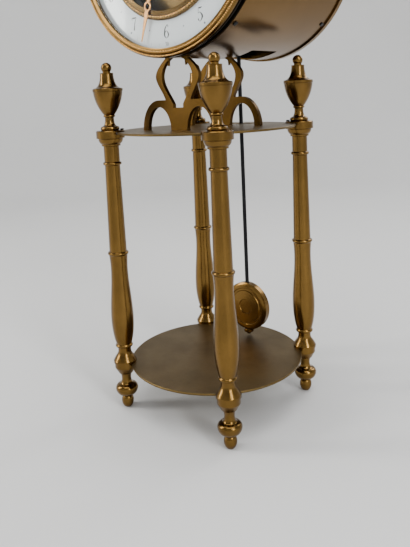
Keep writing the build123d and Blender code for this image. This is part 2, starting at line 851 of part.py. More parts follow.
with BuildPart() as front_ring:
    with BuildSketch(side_section()):
        neck_inner = neck_radius - neck_wall
        fillet_middle = (neck_front + drum_front) / 2
        ring(neck_inner, neck_radius, neck_front, drum_front)
        ring(neck_inner, neck_fillet_radius, fillet_middle - 0.4, fillet_middle + 0.4)
        ring(neck_inner, drum_radius - 0.4, drum_front - ring_shoulder, drum_front)
        ring(neck_inner, drum_inner_radius - fit_gap, drum_front, seat_back)
        ring(seat_ring_hole, drum_inner_radius - fit_gap, spigot_back, seat_back)
    revolve(axis=clock_axis())
    with BuildSketch(facing(spigot_back)):
        with PolarLocations(dial_foot_circle, 3, start_angle=90):
            Circle(dial_foot_radius + bore_clearance)
        with PolarLocations(movement_screw_circle, 4):
            Circle(ring_screw_radius + bore_clearance)
    extrude(amount=-seat_ring_thickness, mode=Mode.SUBTRACT)
    for turn in front_ring_turns:
        with BuildSketch(drum_ray(turn, front_screw_level, neck_radius - neck_wall - 1)):
            Circle(ring_screw_radius + bore_clearance)
        extrude(amount=neck_wall + 3, mode=Mode.SUBTRACT)
    for turn in drum_screw_turns:
        head_middle = front_bracket_face + bracket_thickness / 2
        with BuildSketch(drum_ray(turn, head_middle, neck_radius - neck_wall - 1)):
            Circle(drum_screw_head_radius + drum_screw_head_gap)
        extrude(amount=neck_wall + 3, mode=Mode.SUBTRACT)
    with BuildSketch(Plane.XY.offset(drum_axis_level - hinge_length / 2)):
        with Locations((hinge_x, hinge_y)):
            Circle(hinge_radius)
        leaf_root = -(neck_radius - 0.8)
        with Locations(((hinge_x + leaf_root) / 2, hinge_y + hinge_gap + hinge_leaf / 2)):
            Rectangle(leaf_root - hinge_x, hinge_leaf)
    extrude(amount=hinge_length)
    with BuildSketch(Plane.XY.offset(drum_axis_level - hinge_middle_length / 2 - hinge_gap)):
        with Locations((hinge_x, hinge_y)):
            Rectangle(2 * hinge_radius + 1.0, 2 * hinge_radius + 1.0)
    extrude(amount=hinge_middle_length + 2 * hinge_gap, mode=Mode.SUBTRACT)
    with BuildSketch(Plane.XY.offset(drum_axis_level - hinge_length / 2)):
        with Locations((hinge_x, hinge_y)):
            Circle(hinge_pin_radius + bore_clearance)
    extrude(amount=hinge_length, mode=Mode.SUBTRACT)
keep(front_ring, "front_ring")

with BuildPart() as dial:
    with BuildSketch(facing(dial_back)):
        Circle(dial_radius)
        Circle(dial_hole_radius, mode=Mode.SUBTRACT)
    extrude(amount=dial_thickness)
    with BuildSketch(facing(dial_back)):
        with PolarLocations(dial_foot_circle, 3, start_angle=90):
            Circle(dial_foot_radius + 0.6)
    extrude(amount=dial_back - spigot_back)
    with BuildSketch(facing(spigot_back)):
        with PolarLocations(dial_foot_circle, 3, start_angle=90):
            Circle(dial_foot_radius)
    extrude(amount=-seat_ring_thickness - 0.5)
keep(dial, "dial")

with BuildPart() as dial_inner_ring:
    with BuildSketch(side_section()):
        ring_front = dial_front - inner_ring_depth
        with BuildLine():
            Polyline(
                (dial_hole_radius - fit_gap, dial_back - 0.2),
                (dial_hole_radius - fit_gap, dial_front),
                (inner_ring_radius, dial_front),
                (inner_ring_radius, ring_front + 0.9),
            )
            ThreePointArc(
                (inner_ring_radius, ring_front + 0.9),
                (inner_ring_radius - 1.9, ring_front),
                (inner_ring_radius - 3.2, ring_front + 0.8),
            )
            Polyline(
                (inner_ring_radius - 3.2, ring_front + 0.8),
                (dial_hole_radius - inner_ring_wall, ring_front + 0.5),
                (dial_hole_radius - inner_ring_wall, dial_back - 0.2),
                (dial_hole_radius - fit_gap, dial_back - 0.2),
            )
        make_face()
    revolve(axis=clock_axis())
keep(dial_inner_ring, "dial_inner_ring")

# Bezel with its glass, hinged at the left

with BuildPart() as bezel:
    with BuildSketch(side_section()):
        ledge = bezel_front + bezel_lip
        with BuildLine():
            Polyline(
                (rebate_radius, bezel_back),
                (bezel_radius, bezel_back),
                (bezel_radius, bezel_back - 1.3),
                (bezel_radius - 0.8, bezel_front + 0.2),
                (bezel_radius - 2.0, bezel_front),
                (bezel_radius - 2.5, bezel_front + 0.5),
                (bezel_radius - 3.0, bezel_front),
                (bezel_opening_radius + 0.6, bezel_front),
                (bezel_opening_radius, bezel_front + 0.3),
                (bezel_opening_radius, ledge),
                (rebate_radius, ledge),
                (rebate_radius, bezel_back),
            )
        make_face()
    revolve(axis=clock_axis())
    with BuildSketch(Plane.XY.offset(drum_axis_level - hinge_middle_length / 2)):
        with Locations((hinge_x, hinge_y)):
            Circle(hinge_radius)
        tab_root = -(bezel_radius - 1.0)
        tab_depth = bezel_depth - 1.2
        with Locations(((hinge_x + tab_root) / 2, hinge_y - tab_depth / 2)):
            Rectangle(tab_root - hinge_x, tab_depth)
    extrude(amount=hinge_middle_length)
    with BuildSketch(Plane.XY.offset(drum_axis_level - hinge_middle_length / 2)):
        with Locations((hinge_x, hinge_y)):
            Circle(hinge_pin_radius + bore_clearance)
    extrude(amount=hinge_middle_length, mode=Mode.SUBTRACT)
    with BuildSketch(facing(bezel_back)):
        with Locations((bezel_radius, 0)):
            RectangleRounded(2 * thumb_reach, thumb_length, 1.0)
        Circle(bezel_radius - 0.8, mode=Mode.SUBTRACT)
    extrude(amount=1.2)
keep(bezel, "bezel")

with BuildPart() as bezel_hinge_pin:
    with BuildSketch(Plane.XY.offset(drum_axis_level - hinge_length / 2)):
        with Locations((hinge_x, hinge_y)):
            Circle(hinge_pin_radius)
    extrude(amount=hinge_length)
keep(bezel_hinge_pin, "bezel_hinge_pin")

with BuildPart() as glass:
    with BuildSketch(side_section()):
        glass_front = bezel_front + bezel_lip
        glass_back = glass_front + glass_thickness
        rim = rebate_radius - fit_gap
        foot = bezel_opening_radius - 0.7
        with BuildLine():
            Polyline((foot, glass_back), (rim, glass_back), (rim, glass_front), (foot, glass_front))
            middle = foot / 2
            dome = (foot ** 2 + glass_rise ** 2) / (2 * glass_rise)
            sag = dome - sqrt(dome ** 2 - middle ** 2)
            ThreePointArc(
                (foot, glass_front),
                (middle, glass_front - glass_rise + sag),
                (0, glass_front - glass_rise),
            )
            Line((0, glass_front - glass_rise), (0, glass_back - glass_rise))
            ThreePointArc(
                (0, glass_back - glass_rise),
                (middle, glass_back - glass_rise + sag),
                (foot, glass_back),
            )
        make_face()
    revolve(axis=clock_axis())
keep(glass, "glass")

with BuildPart() as glass_ring:
    with BuildSketch(side_section()):
        ring(rebate_radius - fit_gap - retainer_width, rebate_radius - fit_gap, glass_back, bezel_back - 0.1)
    revolve(axis=clock_axis())
keep(glass_ring, "glass_ring")

# Rear rim and the back cover

with BuildPart() as rear_rim:
    with BuildSketch(side_section()):
        ring(rear_rim_inner_radius, rear_rim_radius, drum_back, rim_back)
        spigot = drum_inner_radius - fit_gap
        ring(spigot - rear_spigot_wall, spigot, drum_back - rear_spigot_depth, rim_back)
    revolve(axis=clock_axis())
    for turn in rear_ring_turns:
        with BuildSketch(drum_ray(turn, rear_screw_level, spigot - rear_spigot_wall - 1)):
            Circle(ring_screw_radius + bore_clearance)
        extrude(amount=rear_spigot_wall + 3, mode=Mode.SUBTRACT)
    with BuildSketch(Plane.XY.offset(drum_axis_level - hinge_length / 2)):
        with Locations((cover_hinge_x, cover_hinge_y)):
            Circle(cover_hinge_radius)
        with Locations((cover_hinge_x - 0.4, (rim_back + cover_hinge_y) / 2 - 0.3)):
            Rectangle(2 * cover_hinge_radius - 0.8, cover_hinge_y - rim_back + 0.6)
    extrude(amount=hinge_length)
    with BuildSketch(Plane.XY.offset(drum_axis_level - hinge_middle_length / 2 - hinge_gap)):
        with Locations((cover_hinge_x, rim_back + 2.0)):
            Rectangle(5.0, 4.0)
    extrude(amount=hinge_middle_length + 2 * hinge_gap, mode=Mode.SUBTRACT)
    with BuildSketch(Plane.XY.offset(drum_axis_level - hinge_length / 2)):
        with Locations((cover_hinge_x, cover_hinge_y)):
            Circle(hinge_pin_radius + bore_clearance)
    extrude(amount=hinge_length, mode=Mode.SUBTRACT)
keep(rear_rim, "rear_rim")

with BuildPart() as back_cover:
    with BuildSketch(side_section()):
        with BuildLine():
            Polyline(
                (0, cover_front + cover_dish),
                (cover_radius - 8, cover_front + cover_dish),
                (cover_radius - 6.5, cover_front),
                (cover_radius, cover_front),
                (cover_radius, cover_back),
                (cover_radius - 6.5, cover_back),
                (cover_radius - 8, cover_back + cover_dish),
                (0, cover_back + cover_dish),
                (0, cover_front + cover_dish),
            )
        make_face()
    revolve(axis=clock_axis())
    with BuildSketch(Plane.XY.offset(drum_axis_level - hinge_middle_length / 2)):
        with Locations((cover_hinge_x, cover_hinge_y)):
            Circle(cover_hinge_radius)
        with Locations((cover_hinge_x + 1.5, cover_front + cover_thickness / 2)):
            Rectangle(3.0, cover_thickness)
    extrude(amount=hinge_middle_length)
    with BuildSketch(Plane.XY.offset(drum_axis_level - hinge_middle_length / 2)):
        with Locations((cover_hinge_x, cover_hinge_y)):
            Circle(hinge_pin_radius + bore_clearance)
    extrude(amount=hinge_middle_length, mode=Mode.SUBTRACT)
    with BuildSketch(facing(cover_front - 1)):
        with Locations((latch_reach, 0)):
            Circle(latch_stem_radius + bore_clearance)
    extrude(amount=-cover_thickness - cover_dish - 3, mode=Mode.SUBTRACT)
keep(back_cover, "back_cover")

with BuildPart() as cover_hinge_pin:
    with BuildSketch(Plane.XY.offset(drum_axis_level - hinge_length / 2)):
        with Locations((cover_hinge_x, cover_hinge_y)):
            Circle(hinge_pin_radius)
    extrude(amount=hinge_length)
keep(cover_hinge_pin, "cover_hinge_pin")

with BuildPart() as cover_latch:
    tongue_back = drum_back - 0.4
    knob_front = cover_back + cover_dish + 0.1
    with BuildSketch(facing(tongue_back, (latch_reach, 0))):
        SlotOverall(latch_length, 2 * latch_stem_radius + 1.0, rotation=90)
    extrude(amount=latch_thickness)
    with BuildSketch(facing(tongue_back, (latch_reach, 0))):
        Circle(latch_stem_radius)
    extrude(amount=tongue_back - knob_front - 1.0)
    with BuildSketch(facing(knob_front, (latch_reach, 0))):
        Circle(cover_knob_radius)
    extrude(amount=-cover_knob_height)
    fillet(cover_latch.edges().filter_by(GeomType.CIRCLE).sort_by(Axis.Y)[-1], 1.0)
keep(cover_latch, "cover_latch")


# The movement: gears, plates and pillars


def toothed(teeth, module, turn, addendum=0.8, fullness=0.8):
    """A gear with slim tapering teeth that keep clear of each other."""
    pitch_radius = teeth * module / 2
    pitch = 2 * pi / teeth
    tip = pitch_radius + addendum * module
    root = pitch_radius - 1.15 * module
    corners_of_tooth = (
        (root, -0.27 * fullness),
        (pitch_radius, -0.22 * fullness),
        (tip, -0.06 * fullness),
        (tip, 0.06 * fullness),
        (pitch_radius, 0.22 * fullness),
        (root, 0.27 * fullness),
    )
    outline = []
    for tooth in range(teeth):
        for reach, share in corners_of_tooth:
            angle = (tooth + share) * pitch + radians(turn)
            outline.append((reach * cos(angle), reach * sin(angle)))
    Polygon(*outline, align=None)


def wheel(place, front, teeth, module, turn, arms=5):
    """A thin wheel with crossed-out arms, drawn about its arbor."""
    rim_inner = teeth * module / 2 - 1.15 * module - rim_width
    with BuildSketch(facing(front + wheel_thickness, place)) as outline:
        toothed(teeth, module, turn)
        Circle(rim_inner, mode=Mode.SUBTRACT)
        with PolarLocations(rim_inner / 2, arms):
            Rectangle(rim_inner + 0.6, spoke_width)
        Circle(hub_radius)
    extrude(outline.sketch, amount=wheel_thickness)


def pinion(place, front, depth, teeth, module, turn):
    """A solid pinion on an arbor."""
    with BuildSketch(facing(front + depth, place)) as outline:
        toothed(teeth, module, turn, addendum=0.6, fullness=0.75)
    extrude(outline.sketch, amount=depth)


def arbor(place):
    """An arbor between the plates with a pivot in each."""
    with BuildSketch(facing(back_plate_front - arbor_end_shake, place)) as body:
        Circle(arbor_radius)
    extrude(body.sketch, amount=movement_gap - 2 * arbor_end_shake)
    with BuildSketch(facing(back_plate_back, place)) as pivots:
        Circle(pivot_radius)
    extrude(pivots.sketch, amount=movement_gap + 2 * movement_plate_thickness)


def towards(place, other, teeth, space):
    """The turn that sets a tooth, or with a space of one a gap, facing another arbor."""
    angle = degrees(atan2(other[1] - place[1], other[0] - place[0]))
    return angle + space * 180 / teeth


centre_place = (0.0, 0.0)
pallet_place = (0.0, pendulum_pivot_rise)
great_front = front_plate_back + great_wheel_depth
second_front = front_plate_back + second_wheel_depth
centre_front = front_plate_back + centre_wheel_depth
third_front = front_plate_back + third_wheel_depth
escape_front = front_plate_back + escape_wheel_depth
front_plate_front = seat_back
cannon_back = front_plate_front - 1.0
hour_wheel_back = cannon_back - 4.3
ratchet_back = front_plate_front - 0.6
ratchet_front = ratchet_back - ratchet_thickness
click_place = (click_reach * cos(radians(-30)), click_reach * sin(radians(-30)) - barrel_distance)
pillar_spots = [
    (side * pillar_circle * cos(radians(pillar_angle)), rise * pillar_circle * sin(radians(pillar_angle)))
    for side in (-1, 1)
    for rise in (-1, 1)
]

with BuildPart() as movement_front_plate:
    with BuildSketch(facing(front_plate_back)):
        Circle(movement_plate_radius)
        with Locations(second_place, third_place, escape_place, pallet_place):
            Circle(pivot_radius + pivot_clearance, mode=Mode.SUBTRACT)
        Circle(arbor_radius + pivot_clearance, mode=Mode.SUBTRACT)
        with Locations(barrel_place):
            Circle(barrel_arbor_radius + pivot_clearance, mode=Mode.SUBTRACT)
        with Locations(*pillar_spots):
            Circle(pillar_tenon_radius + bore_clearance, mode=Mode.SUBTRACT)
        with PolarLocations(movement_screw_circle, 4):
            Circle(ring_screw_radius + bore_clearance, mode=Mode.SUBTRACT)
    extrude(amount=movement_plate_thickness)
    with BuildSketch(facing(front_plate_front, minute_place)):
        Circle(motion_post_radius)
    extrude(amount=9.5)
    with BuildSketch(facing(front_plate_front, click_place)):
        Circle(motion_post_radius)
    extrude(amount=front_plate_front - ratchet_front + 0.5)
keep(movement_front_plate, "movement_front_plate")

with BuildPart() as movement_back_plate:
    with BuildSketch(facing(back_plate_back)):
        Circle(movement_plate_radius)
        with Locations(centre_place, second_place, third_place, escape_place):
            Circle(pivot_radius + pivot_clearance, mode=Mode.SUBTRACT)
        with Locations(pallet_place):
            Circle(arbor_radius + pivot_clearance, mode=Mode.SUBTRACT)
        with Locations(barrel_place):
            Circle(barrel_arbor_radius + pivot_clearance, mode=Mode.SUBTRACT)
        with Locations(*pillar_spots):
            Circle(pillar_tenon_radius + bore_clearance, mode=Mode.SUBTRACT)
    extrude(amount=movement_plate_thickness)
keep(movement_back_plate, "movement_back_plate")

with BuildPart() as movement_pillars:
    for spot in pillar_spots:
        with BuildSketch(facing(back_plate_front, spot)):
            Circle(pillar_radius)
        extrude(amount=movement_gap)
        with BuildSketch(facing(back_plate_back + pillar_nut_height + 0.8, spot)):
            Circle(pillar_tenon_radius)
        extrude(amount=back_plate_back + pillar_nut_height + 0.8 - front_plate_front)
keep(movement_pillars, "movement_pillars")

with BuildPart() as pillar_nuts:
    for spot in pillar_spots:
        with BuildSketch(facing(back_plate_back, spot)):
            RegularPolygon(pillar_nut_radius, 6)
            Circle(pillar_tenon_radius + bore_clearance, mode=Mode.SUBTRACT)
        extrude(amount=-pillar_nut_height)
keep(pillar_nuts, "pillar_nuts")

with BuildPart() as movement_screws:
    with BuildSketch(facing(spigot_back)):
        with PolarLocations(movement_screw_circle, 4):
            Circle(ring_screw_head_radius)
    extrude(amount=ring_screw_head_height)
    with BuildSketch(facing(spigot_back)):
        with PolarLocations(movement_screw_circle, 4):
            Circle(ring_screw_radius)
    extrude(amount=-seat_ring_thickness - movement_plate_thickness)
keep(movement_screws, "movement_screws")

# The going barrel and its winding work

with BuildPart() as going_barrel:
    with BuildSketch(facing(great_front + wheel_thickness, barrel_place)):
        toothed(great_wheel_teeth, barrel_module, towards(barrel_place, second_place, great_wheel_teeth, 0))
    extrude(amount=wheel_thickness)
    with BuildSketch(facing(great_front + wheel_thickness, barrel_place)):
        Circle(barrel_radius)
        Circle(barrel_radius - barrel_wall, mode=Mode.SUBTRACT)
    extrude(amount=-barrel_length)
    with BuildSketch(facing(great_front + wheel_thickness + barrel_length, barrel_place)):
        Circle(barrel_radius)
    extrude(amount=barrel_wall)
    with BuildSketch(facing(back_plate_front, barrel_place)):
        Circle(barrel_arbor_radius + bore_clearance)
    extrude(amount=movement_gap, mode=Mode.SUBTRACT)
keep(going_barrel, "going_barrel")

with BuildPart() as barrel_arbor:
    with BuildSketch(facing(back_plate_back, barrel_place)):
        Circle(barrel_arbor_radius)
    extrude(amount=back_plate_back - front_plate_front + 0.3)
    with BuildSketch(facing(front_plate_front, barrel_place)):
        Rectangle(winding_square, winding_square)
        Circle(barrel_arbor_radius, mode=Mode.INTERSECT)
    extrude(amount=winding_square_reach)
keep(barrel_arbor, "barrel_arbor")

with BuildPart() as ratchet_wheel:
    with BuildSketch(facing(ratchet_back, barrel_place)):
        ratchet_outline = []
        for tooth in range(ratchet_teeth):
            for reach, share in ((ratchet_radius, 0), (ratchet_radius - 1, 0.9)):
                angle = 2 * pi * (tooth + share) / ratchet_teeth
                ratchet_outline.append((reach * cos(angle), reach * sin(angle)))
        Polygon(*ratchet_outline, align=None)
        with BuildSketch(mode=Mode.PRIVATE) as square_hole:
            Rectangle(winding_square, winding_square)
            Circle(barrel_arbor_radius, mode=Mode.INTERSECT)
        add(square_hole.sketch, mode=Mode.SUBTRACT)
    extrude(amount=ratchet_thickness)
keep(ratchet_wheel, "ratchet_wheel")

with BuildPart() as click:
    with BuildSketch(facing(ratchet_back, barrel_place)):
        nib_angle = 12.5
        click_outline = (
            (ratchet_radius - 0.55, nib_angle),
            (ratchet_radius + 0.7, nib_angle + 0.3),
            (click_reach + click_width / 2, -30),
            (click_reach - click_width / 2, -30),
            (ratchet_radius + 0.4, nib_angle - 4.5),
        )
        Polygon(
            *[(reach * cos(radians(turn)), reach * sin(radians(turn))) for reach, turn in click_outline],
            align=None,
        )
        with Locations((click_place[0], click_place[1] + barrel_distance)):
            Circle(click_width / 2 + 0.4)
            Circle(motion_post_radius + pivot_clearance, mode=Mode.SUBTRACT)
    extrude(amount=ratchet_thickness)
keep(click, "click")

# The train

with BuildPart() as second_wheel:
    arbor(second_place)
    wheel(
        second_place,
        second_front,
        second_wheel_teeth,
        train_module,
        towards(second_place, centre_place, second_wheel_teeth, 0),
    )
    pinion(
        second_place,
        great_front - 1.0,
        wheel_thickness + 2.0,
        second_pinion_teeth,
        barrel_module,
        towards(second_place, barrel_place, second_pinion_teeth, 1),
    )
keep(second_wheel, "second_wheel")

with BuildPart() as centre_wheel:
    with BuildSketch(facing(back_plate_front - arbor_end_shake)):
        Circle(arbor_radius + 0.6)
    extrude(amount=movement_gap - 2 * arbor_end_shake)
    with BuildSketch(facing(back_plate_back)):
        Circle(pivot_radius)
    extrude(amount=movement_plate_thickness + 1.0)
    with BuildSketch(facing(front_plate_back + 1.0)):
        Circle(arbor_radius)
    extrude(amount=front_plate_back + 1.0 - minute_hand_front)
    wheel(
        centre_place,
        centre_front,
        centre_wheel_teeth,
        train_module,
        towards(centre_place, third_place, centre_wheel_teeth, 0),
    )
    pinion(
        centre_place,
        second_front - 1.0,
        wheel_thickness + 2.0,
        centre_pinion_teeth,
        train_module,
        towards(centre_place, second_place, centre_pinion_teeth, 1),
    )
keep(centre_wheel, "centre_wheel")

with BuildPart() as third_wheel:
    arbor(third_place)
    wheel(
        third_place,
        third_front,
        third_wheel_teeth,
        train_module,
        towards(third_place, escape_place, third_wheel_teeth, 0),
    )
    pinion(
        third_place,
        centre_front - 1.0,
        wheel_thickness + 2.0,
        third_pinion_teeth,
        train_module,
        towards(third_place, centre_place, third_pinion_teeth, 1),
    )
keep(third_wheel, "third_wheel")

with BuildPart() as escape_wheel:
    arbor(escape_place)
    pinion(
        escape_place,
        third_front - 1.0,
        wheel_thickness + 2.0,
        escape_pinion_teeth,
        train_module,
        towards(escape_place, third_place, escape_pinion_teeth, 1),
    )
    with BuildSketch(facing(escape_front + wheel_thickness, escape_place)):
        tooth_outline = []
        for tooth in range(escape_teeth):
            for reach, share in (
                (escape_radius - escape_tooth_height, -0.2),
                (escape_radius, -0.05),
                (escape_radius, 0.05),
                (escape_radius - escape_tooth_height, 0.2),
            ):
                angle = pi / 2 + 2 * pi * (tooth + share) / escape_teeth
                tooth_outline.append((reach * cos(angle), reach * sin(angle)))
        Polygon(*tooth_outline, align=None)
        escape_rim = escape_radius - escape_tooth_height - 1.2
        Circle(escape_rim, mode=Mode.SUBTRACT)
        with PolarLocations(escape_rim / 2, 4):
            Rectangle(escape_rim + 0.6, 1.2)
        Circle(hub_radius - 1)
    extrude(amount=wheel_thickness)
keep(escape_wheel, "escape_wheel")

with BuildPart() as pallets:
    swing_circle = escape_radius * tan(escape_half_span)
    nib_start = degrees(escape_half_span) - 90 + degrees(pallet_lift_clear / swing_circle)
    nib_length = 16.0
    with BuildSketch(facing(escape_front + wheel_thickness, pallet_place)):
        Circle(hub_radius)
        for side in (0, 1):
            with BuildLine():
                start = nib_start if side == 0 else 180 - nib_start - nib_length
                inner = swing_circle - pallet_thickness / 2
                outer = swing_circle + pallet_thickness / 2
                first = CenterArc((0, 0), inner, start, nib_length)
                second = CenterArc((0, 0), outer, start, nib_length)
                Line(first @ 0, second @ 0)
                Line(first @ 1, second @ 1)
            make_face()
            arm_turn = nib_start + nib_length - 2
            arm_turn = arm_turn if side == 0 else 180 - arm_turn
            reach = swing_circle + pallet_thickness / 2
            with PolarLocations(reach / 2, 1, start_angle=arm_turn):
                Rectangle(reach, 1.8)
    extrude(amount=wheel_thickness)
    cock_bar_front = back_plate_back + cock_leg
    with BuildSketch(facing(cock_bar_front - 0.2, pallet_place)):
        Circle(arbor_radius)
    extrude(amount=cock_bar_front - 0.2 - front_plate_back - arbor_end_shake)
    with BuildSketch(facing(cock_bar_front + cock_bar - 0.5, pallet_place)):
        Circle(pivot_radius)
    extrude(amount=cock_bar_front + cock_bar - 0.5 - front_plate_front)
    crutch_front = back_plate_back + 1.0
    with BuildSketch(facing(crutch_front + crutch_thickness, pallet_place)):
        Circle(hub_radius)
        with Locations((0, -crutch_length / 2)):
            Rectangle(crutch_width, crutch_length)
        with Locations((0, -crutch_length)):
            Rectangle(crutch_fork_width, crutch_fork_height)
    extrude(amount=crutch_thickness)
    with BuildSketch(facing(pendulum_plane + 3.0, (0, pendulum_pivot_rise - crutch_length))):
        Rectangle(crutch_fork_width, crutch_fork_height)
        Rectangle(2 * (rod_radius + crutch_slack), crutch_fork_height, mode=Mode.SUBTRACT)
    extrude(amount=pendulum_plane + 3.0 - crutch_front)
keep(pallets, "pallets")

# The suspension

block_bottom = pivot_level + spring_length / 2
chop_top = pivot_level - spring_length / 2
cock_top = block_bottom + chop_height + 1.5

cock_pin_end = Plane(
    origin=(-cock_width / 2, pendulum_plane, block_bottom + chop_height / 2), z_dir=(1, 0, 0)
)

with BuildPart() as suspension_cock:
    bar_back = cock_bar_front + cock_bar
    with BuildSketch(facing(bar_back, pallet_place)):
        Rectangle(cock_span, cock_height)
        with Locations((0, (cock_top - pivot_level) / 2)):
            Rectangle(cock_width, cock_top - pivot_level)
        Circle(pivot_radius + pivot_clearance, mode=Mode.SUBTRACT)
    extrude(amount=cock_bar)
    with BuildSketch(facing(cock_bar_front, pallet_place)):
        for side in (-1, 1):
            with Locations((side * (cock_span - cock_leg) / 2, 0)):
                Rectangle(cock_leg, cock_height)
    extrude(amount=cock_leg)
    with BuildSketch(Plane.XY.offset(block_bottom - 1.5)):
        for side in (-1, 1):
            cheek_outer = cock_width / 2
            cheek_inner = chop_depth / 2
            cheek_back = pendulum_plane + chop_width / 2
            with Locations((side * (cheek_outer + cheek_inner) / 2, (bar_back + cheek_back) / 2)):
                Rectangle(cheek_outer - cheek_inner, cheek_back - bar_back)
    extrude(amount=cock_top - block_bottom + 1.5)
    with BuildSketch(cock_pin_end):
        Circle(cock_pin_radius)
    extrude(amount=cock_width, mode=Mode.SUBTRACT)
keep(suspension_cock, "suspension_cock")

with BuildPart() as suspension_block:
    with BuildSketch(Plane(origin=(0, pendulum_plane, block_bottom))):
        Rectangle(chop_depth, chop_width)
    extrude(amount=chop_height)
    with BuildSketch(cock_pin_end):
        Circle(cock_pin_radius)
    extrude(amount=cock_width)
keep(suspension_block, "suspension_block")

with BuildPart() as suspension_spring:
    with BuildSketch(Plane(origin=(0, pendulum_plane, chop_top))):
        Rectangle(chop_depth, chop_width)
    extrude(amount=-chop_height)
    with BuildSketch(Plane(origin=(0, pendulum_plane, chop_top))):
        Rectangle(spring_thickness, spring_width)
    extrude(amount=spring_length - spring_gap)
keep(suspension_spring, "suspension_spring")

# The pendulum

bob_bottom = bob_level - bob_radius
nut_top = bob_bottom - fit_gap
rod_bottom = nut_top - nut_height - rod_tail / 2

with BuildPart() as pendulum_rod:
    rod_top = chop_top - chop_height
    with BuildSketch(Plane(origin=(0, pendulum_plane, rod_bottom))):
        Circle(rod_radius)
    extrude(amount=rod_top - 1.0 - rod_bottom)
    with BuildSketch(Plane(origin=(0, pendulum_plane, rod_top - 3.0))):
        Rectangle(chop_depth + 2.4, chop_width)
    extrude(amount=chop_height + 2.0)
    with BuildSketch(Plane(origin=(0, pendulum_plane, rod_top))):
        Rectangle(chop_depth, chop_width)
    extrude(amount=chop_height, mode=Mode.SUBTRACT)
keep(pendulum_rod, "pendulum_rod")

with BuildPart() as pendulum_bob:
    with BuildSketch(Plane(origin=(0, pendulum_plane, bob_level), x_dir=(0, 0, 1), z_dir=(-1, 0, 0))):
        face = -bob_thickness / 2
        edge = -bob_edge / 2
        with BuildLine():
            Polyline(
                (0, face + 0.5),
                (5.2, face + 0.5),
                (5.6, face),
                (bob_radius - 6.0, face + 0.2),
                (bob_radius - 5.6, face + 0.7),
                (bob_radius - 4.2, face + 0.7),
                (bob_radius - 3.8, face + 0.3),
            )
            ThreePointArc(
                (bob_radius - 3.8, face + 0.3),
                (bob_radius - 1.2, face + 0.75),
                (bob_radius, edge),
            )
            Line((bob_radius, edge), (bob_radius, -edge))
            ThreePointArc(
                (bob_radius, -edge),
                (bob_radius - 1.2, -face - 0.75),
                (bob_radius - 3.8, -face - 0.3),
            )
            Polyline(
                (bob_radius - 3.8, -face - 0.3),
                (bob_radius - 6.0, -face),
                (0, -face),
                (0, face + 0.5),
            )
        make_face()
    revolve(axis=Axis((0, pendulum_plane, bob_level), (0, 1, 0)))
    with BuildSketch(Plane(origin=(0, pendulum_plane, bob_bottom - 1))):
        Circle(rod_radius + bore_clearance)
    extrude(amount=2 * bob_radius + 2, mode=Mode.SUBTRACT)
keep(pendulum_bob, "pendulum_bob")

with BuildPart() as rating_nut:
    with BuildSketch(Plane(origin=(0, pendulum_plane, nut_top))):
        Circle(nut_radius)
        Circle(rod_radius + bore_clearance, mode=Mode.SUBTRACT)
    extrude(amount=-nut_height)
    chamfer(rating_nut.edges().filter_by(GeomType.CIRCLE).sort_by(SortBy.RADIUS)[-2:], 0.4)
keep(rating_nut, "rating_nut")

# The motion work and the hands

with BuildPart() as cannon_pinion:
    with BuildSketch(facing(cannon_back)):
        toothed(cannon_teeth, train_module, towards(centre_place, minute_place, cannon_teeth, 1))
    extrude(amount=wheel_thickness + 1.0)
    with BuildSketch(facing(cannon_back)):
        Circle(cannon_radius)
    extrude(amount=cannon_back - minute_hand_front + 0.5)
    with BuildSketch(facing(cannon_back + 1)):
        Circle(cannon_bore)
    extrude(amount=cannon_back - minute_hand_front + 3, mode=Mode.SUBTRACT)
keep(cannon_pinion, "cannon_pinion")

with BuildPart() as minute_wheel:
    wheel(
        minute_place,
        cannon_back - wheel_thickness - 0.4,
        minute_wheel_teeth,
        train_module,
        towards(minute_place, centre_place, minute_wheel_teeth, 0),
    )
    pinion(
        minute_place,
        hour_wheel_back - wheel_thickness - 0.4,
        cannon_back - 1.0 - hour_wheel_back + wheel_thickness + 0.4,
        minute_pinion_teeth,
        motion_module,
        towards(minute_place, centre_place, minute_pinion_teeth, 1),
    )
    with BuildSketch(facing(cannon_back + 1, minute_place)):
        Circle(motion_post_radius + pivot_clearance)
    extrude(amount=12, mode=Mode.SUBTRACT)
keep(minute_wheel, "minute_wheel")

with BuildPart() as hour_wheel:
    wheel(
        centre_place,
        hour_wheel_back - wheel_thickness,
        hour_wheel_teeth,
        motion_module,
        towards(centre_place, minute_place, hour_wheel_teeth, 0),
    )
    with BuildSketch(facing(hour_wheel_back)):
        Circle(hour_pipe_radius)
    extrude(amount=hour_wheel_back - hour_hand_front)
    with BuildSketch(facing(hour_wheel_back + 1)):
        Circle(hour_pipe_bore)
    extrude(amount=hour_wheel_back - hour_hand_front + 2, mode=Mode.SUBTRACT)
keep(hour_wheel, "hour_wheel")


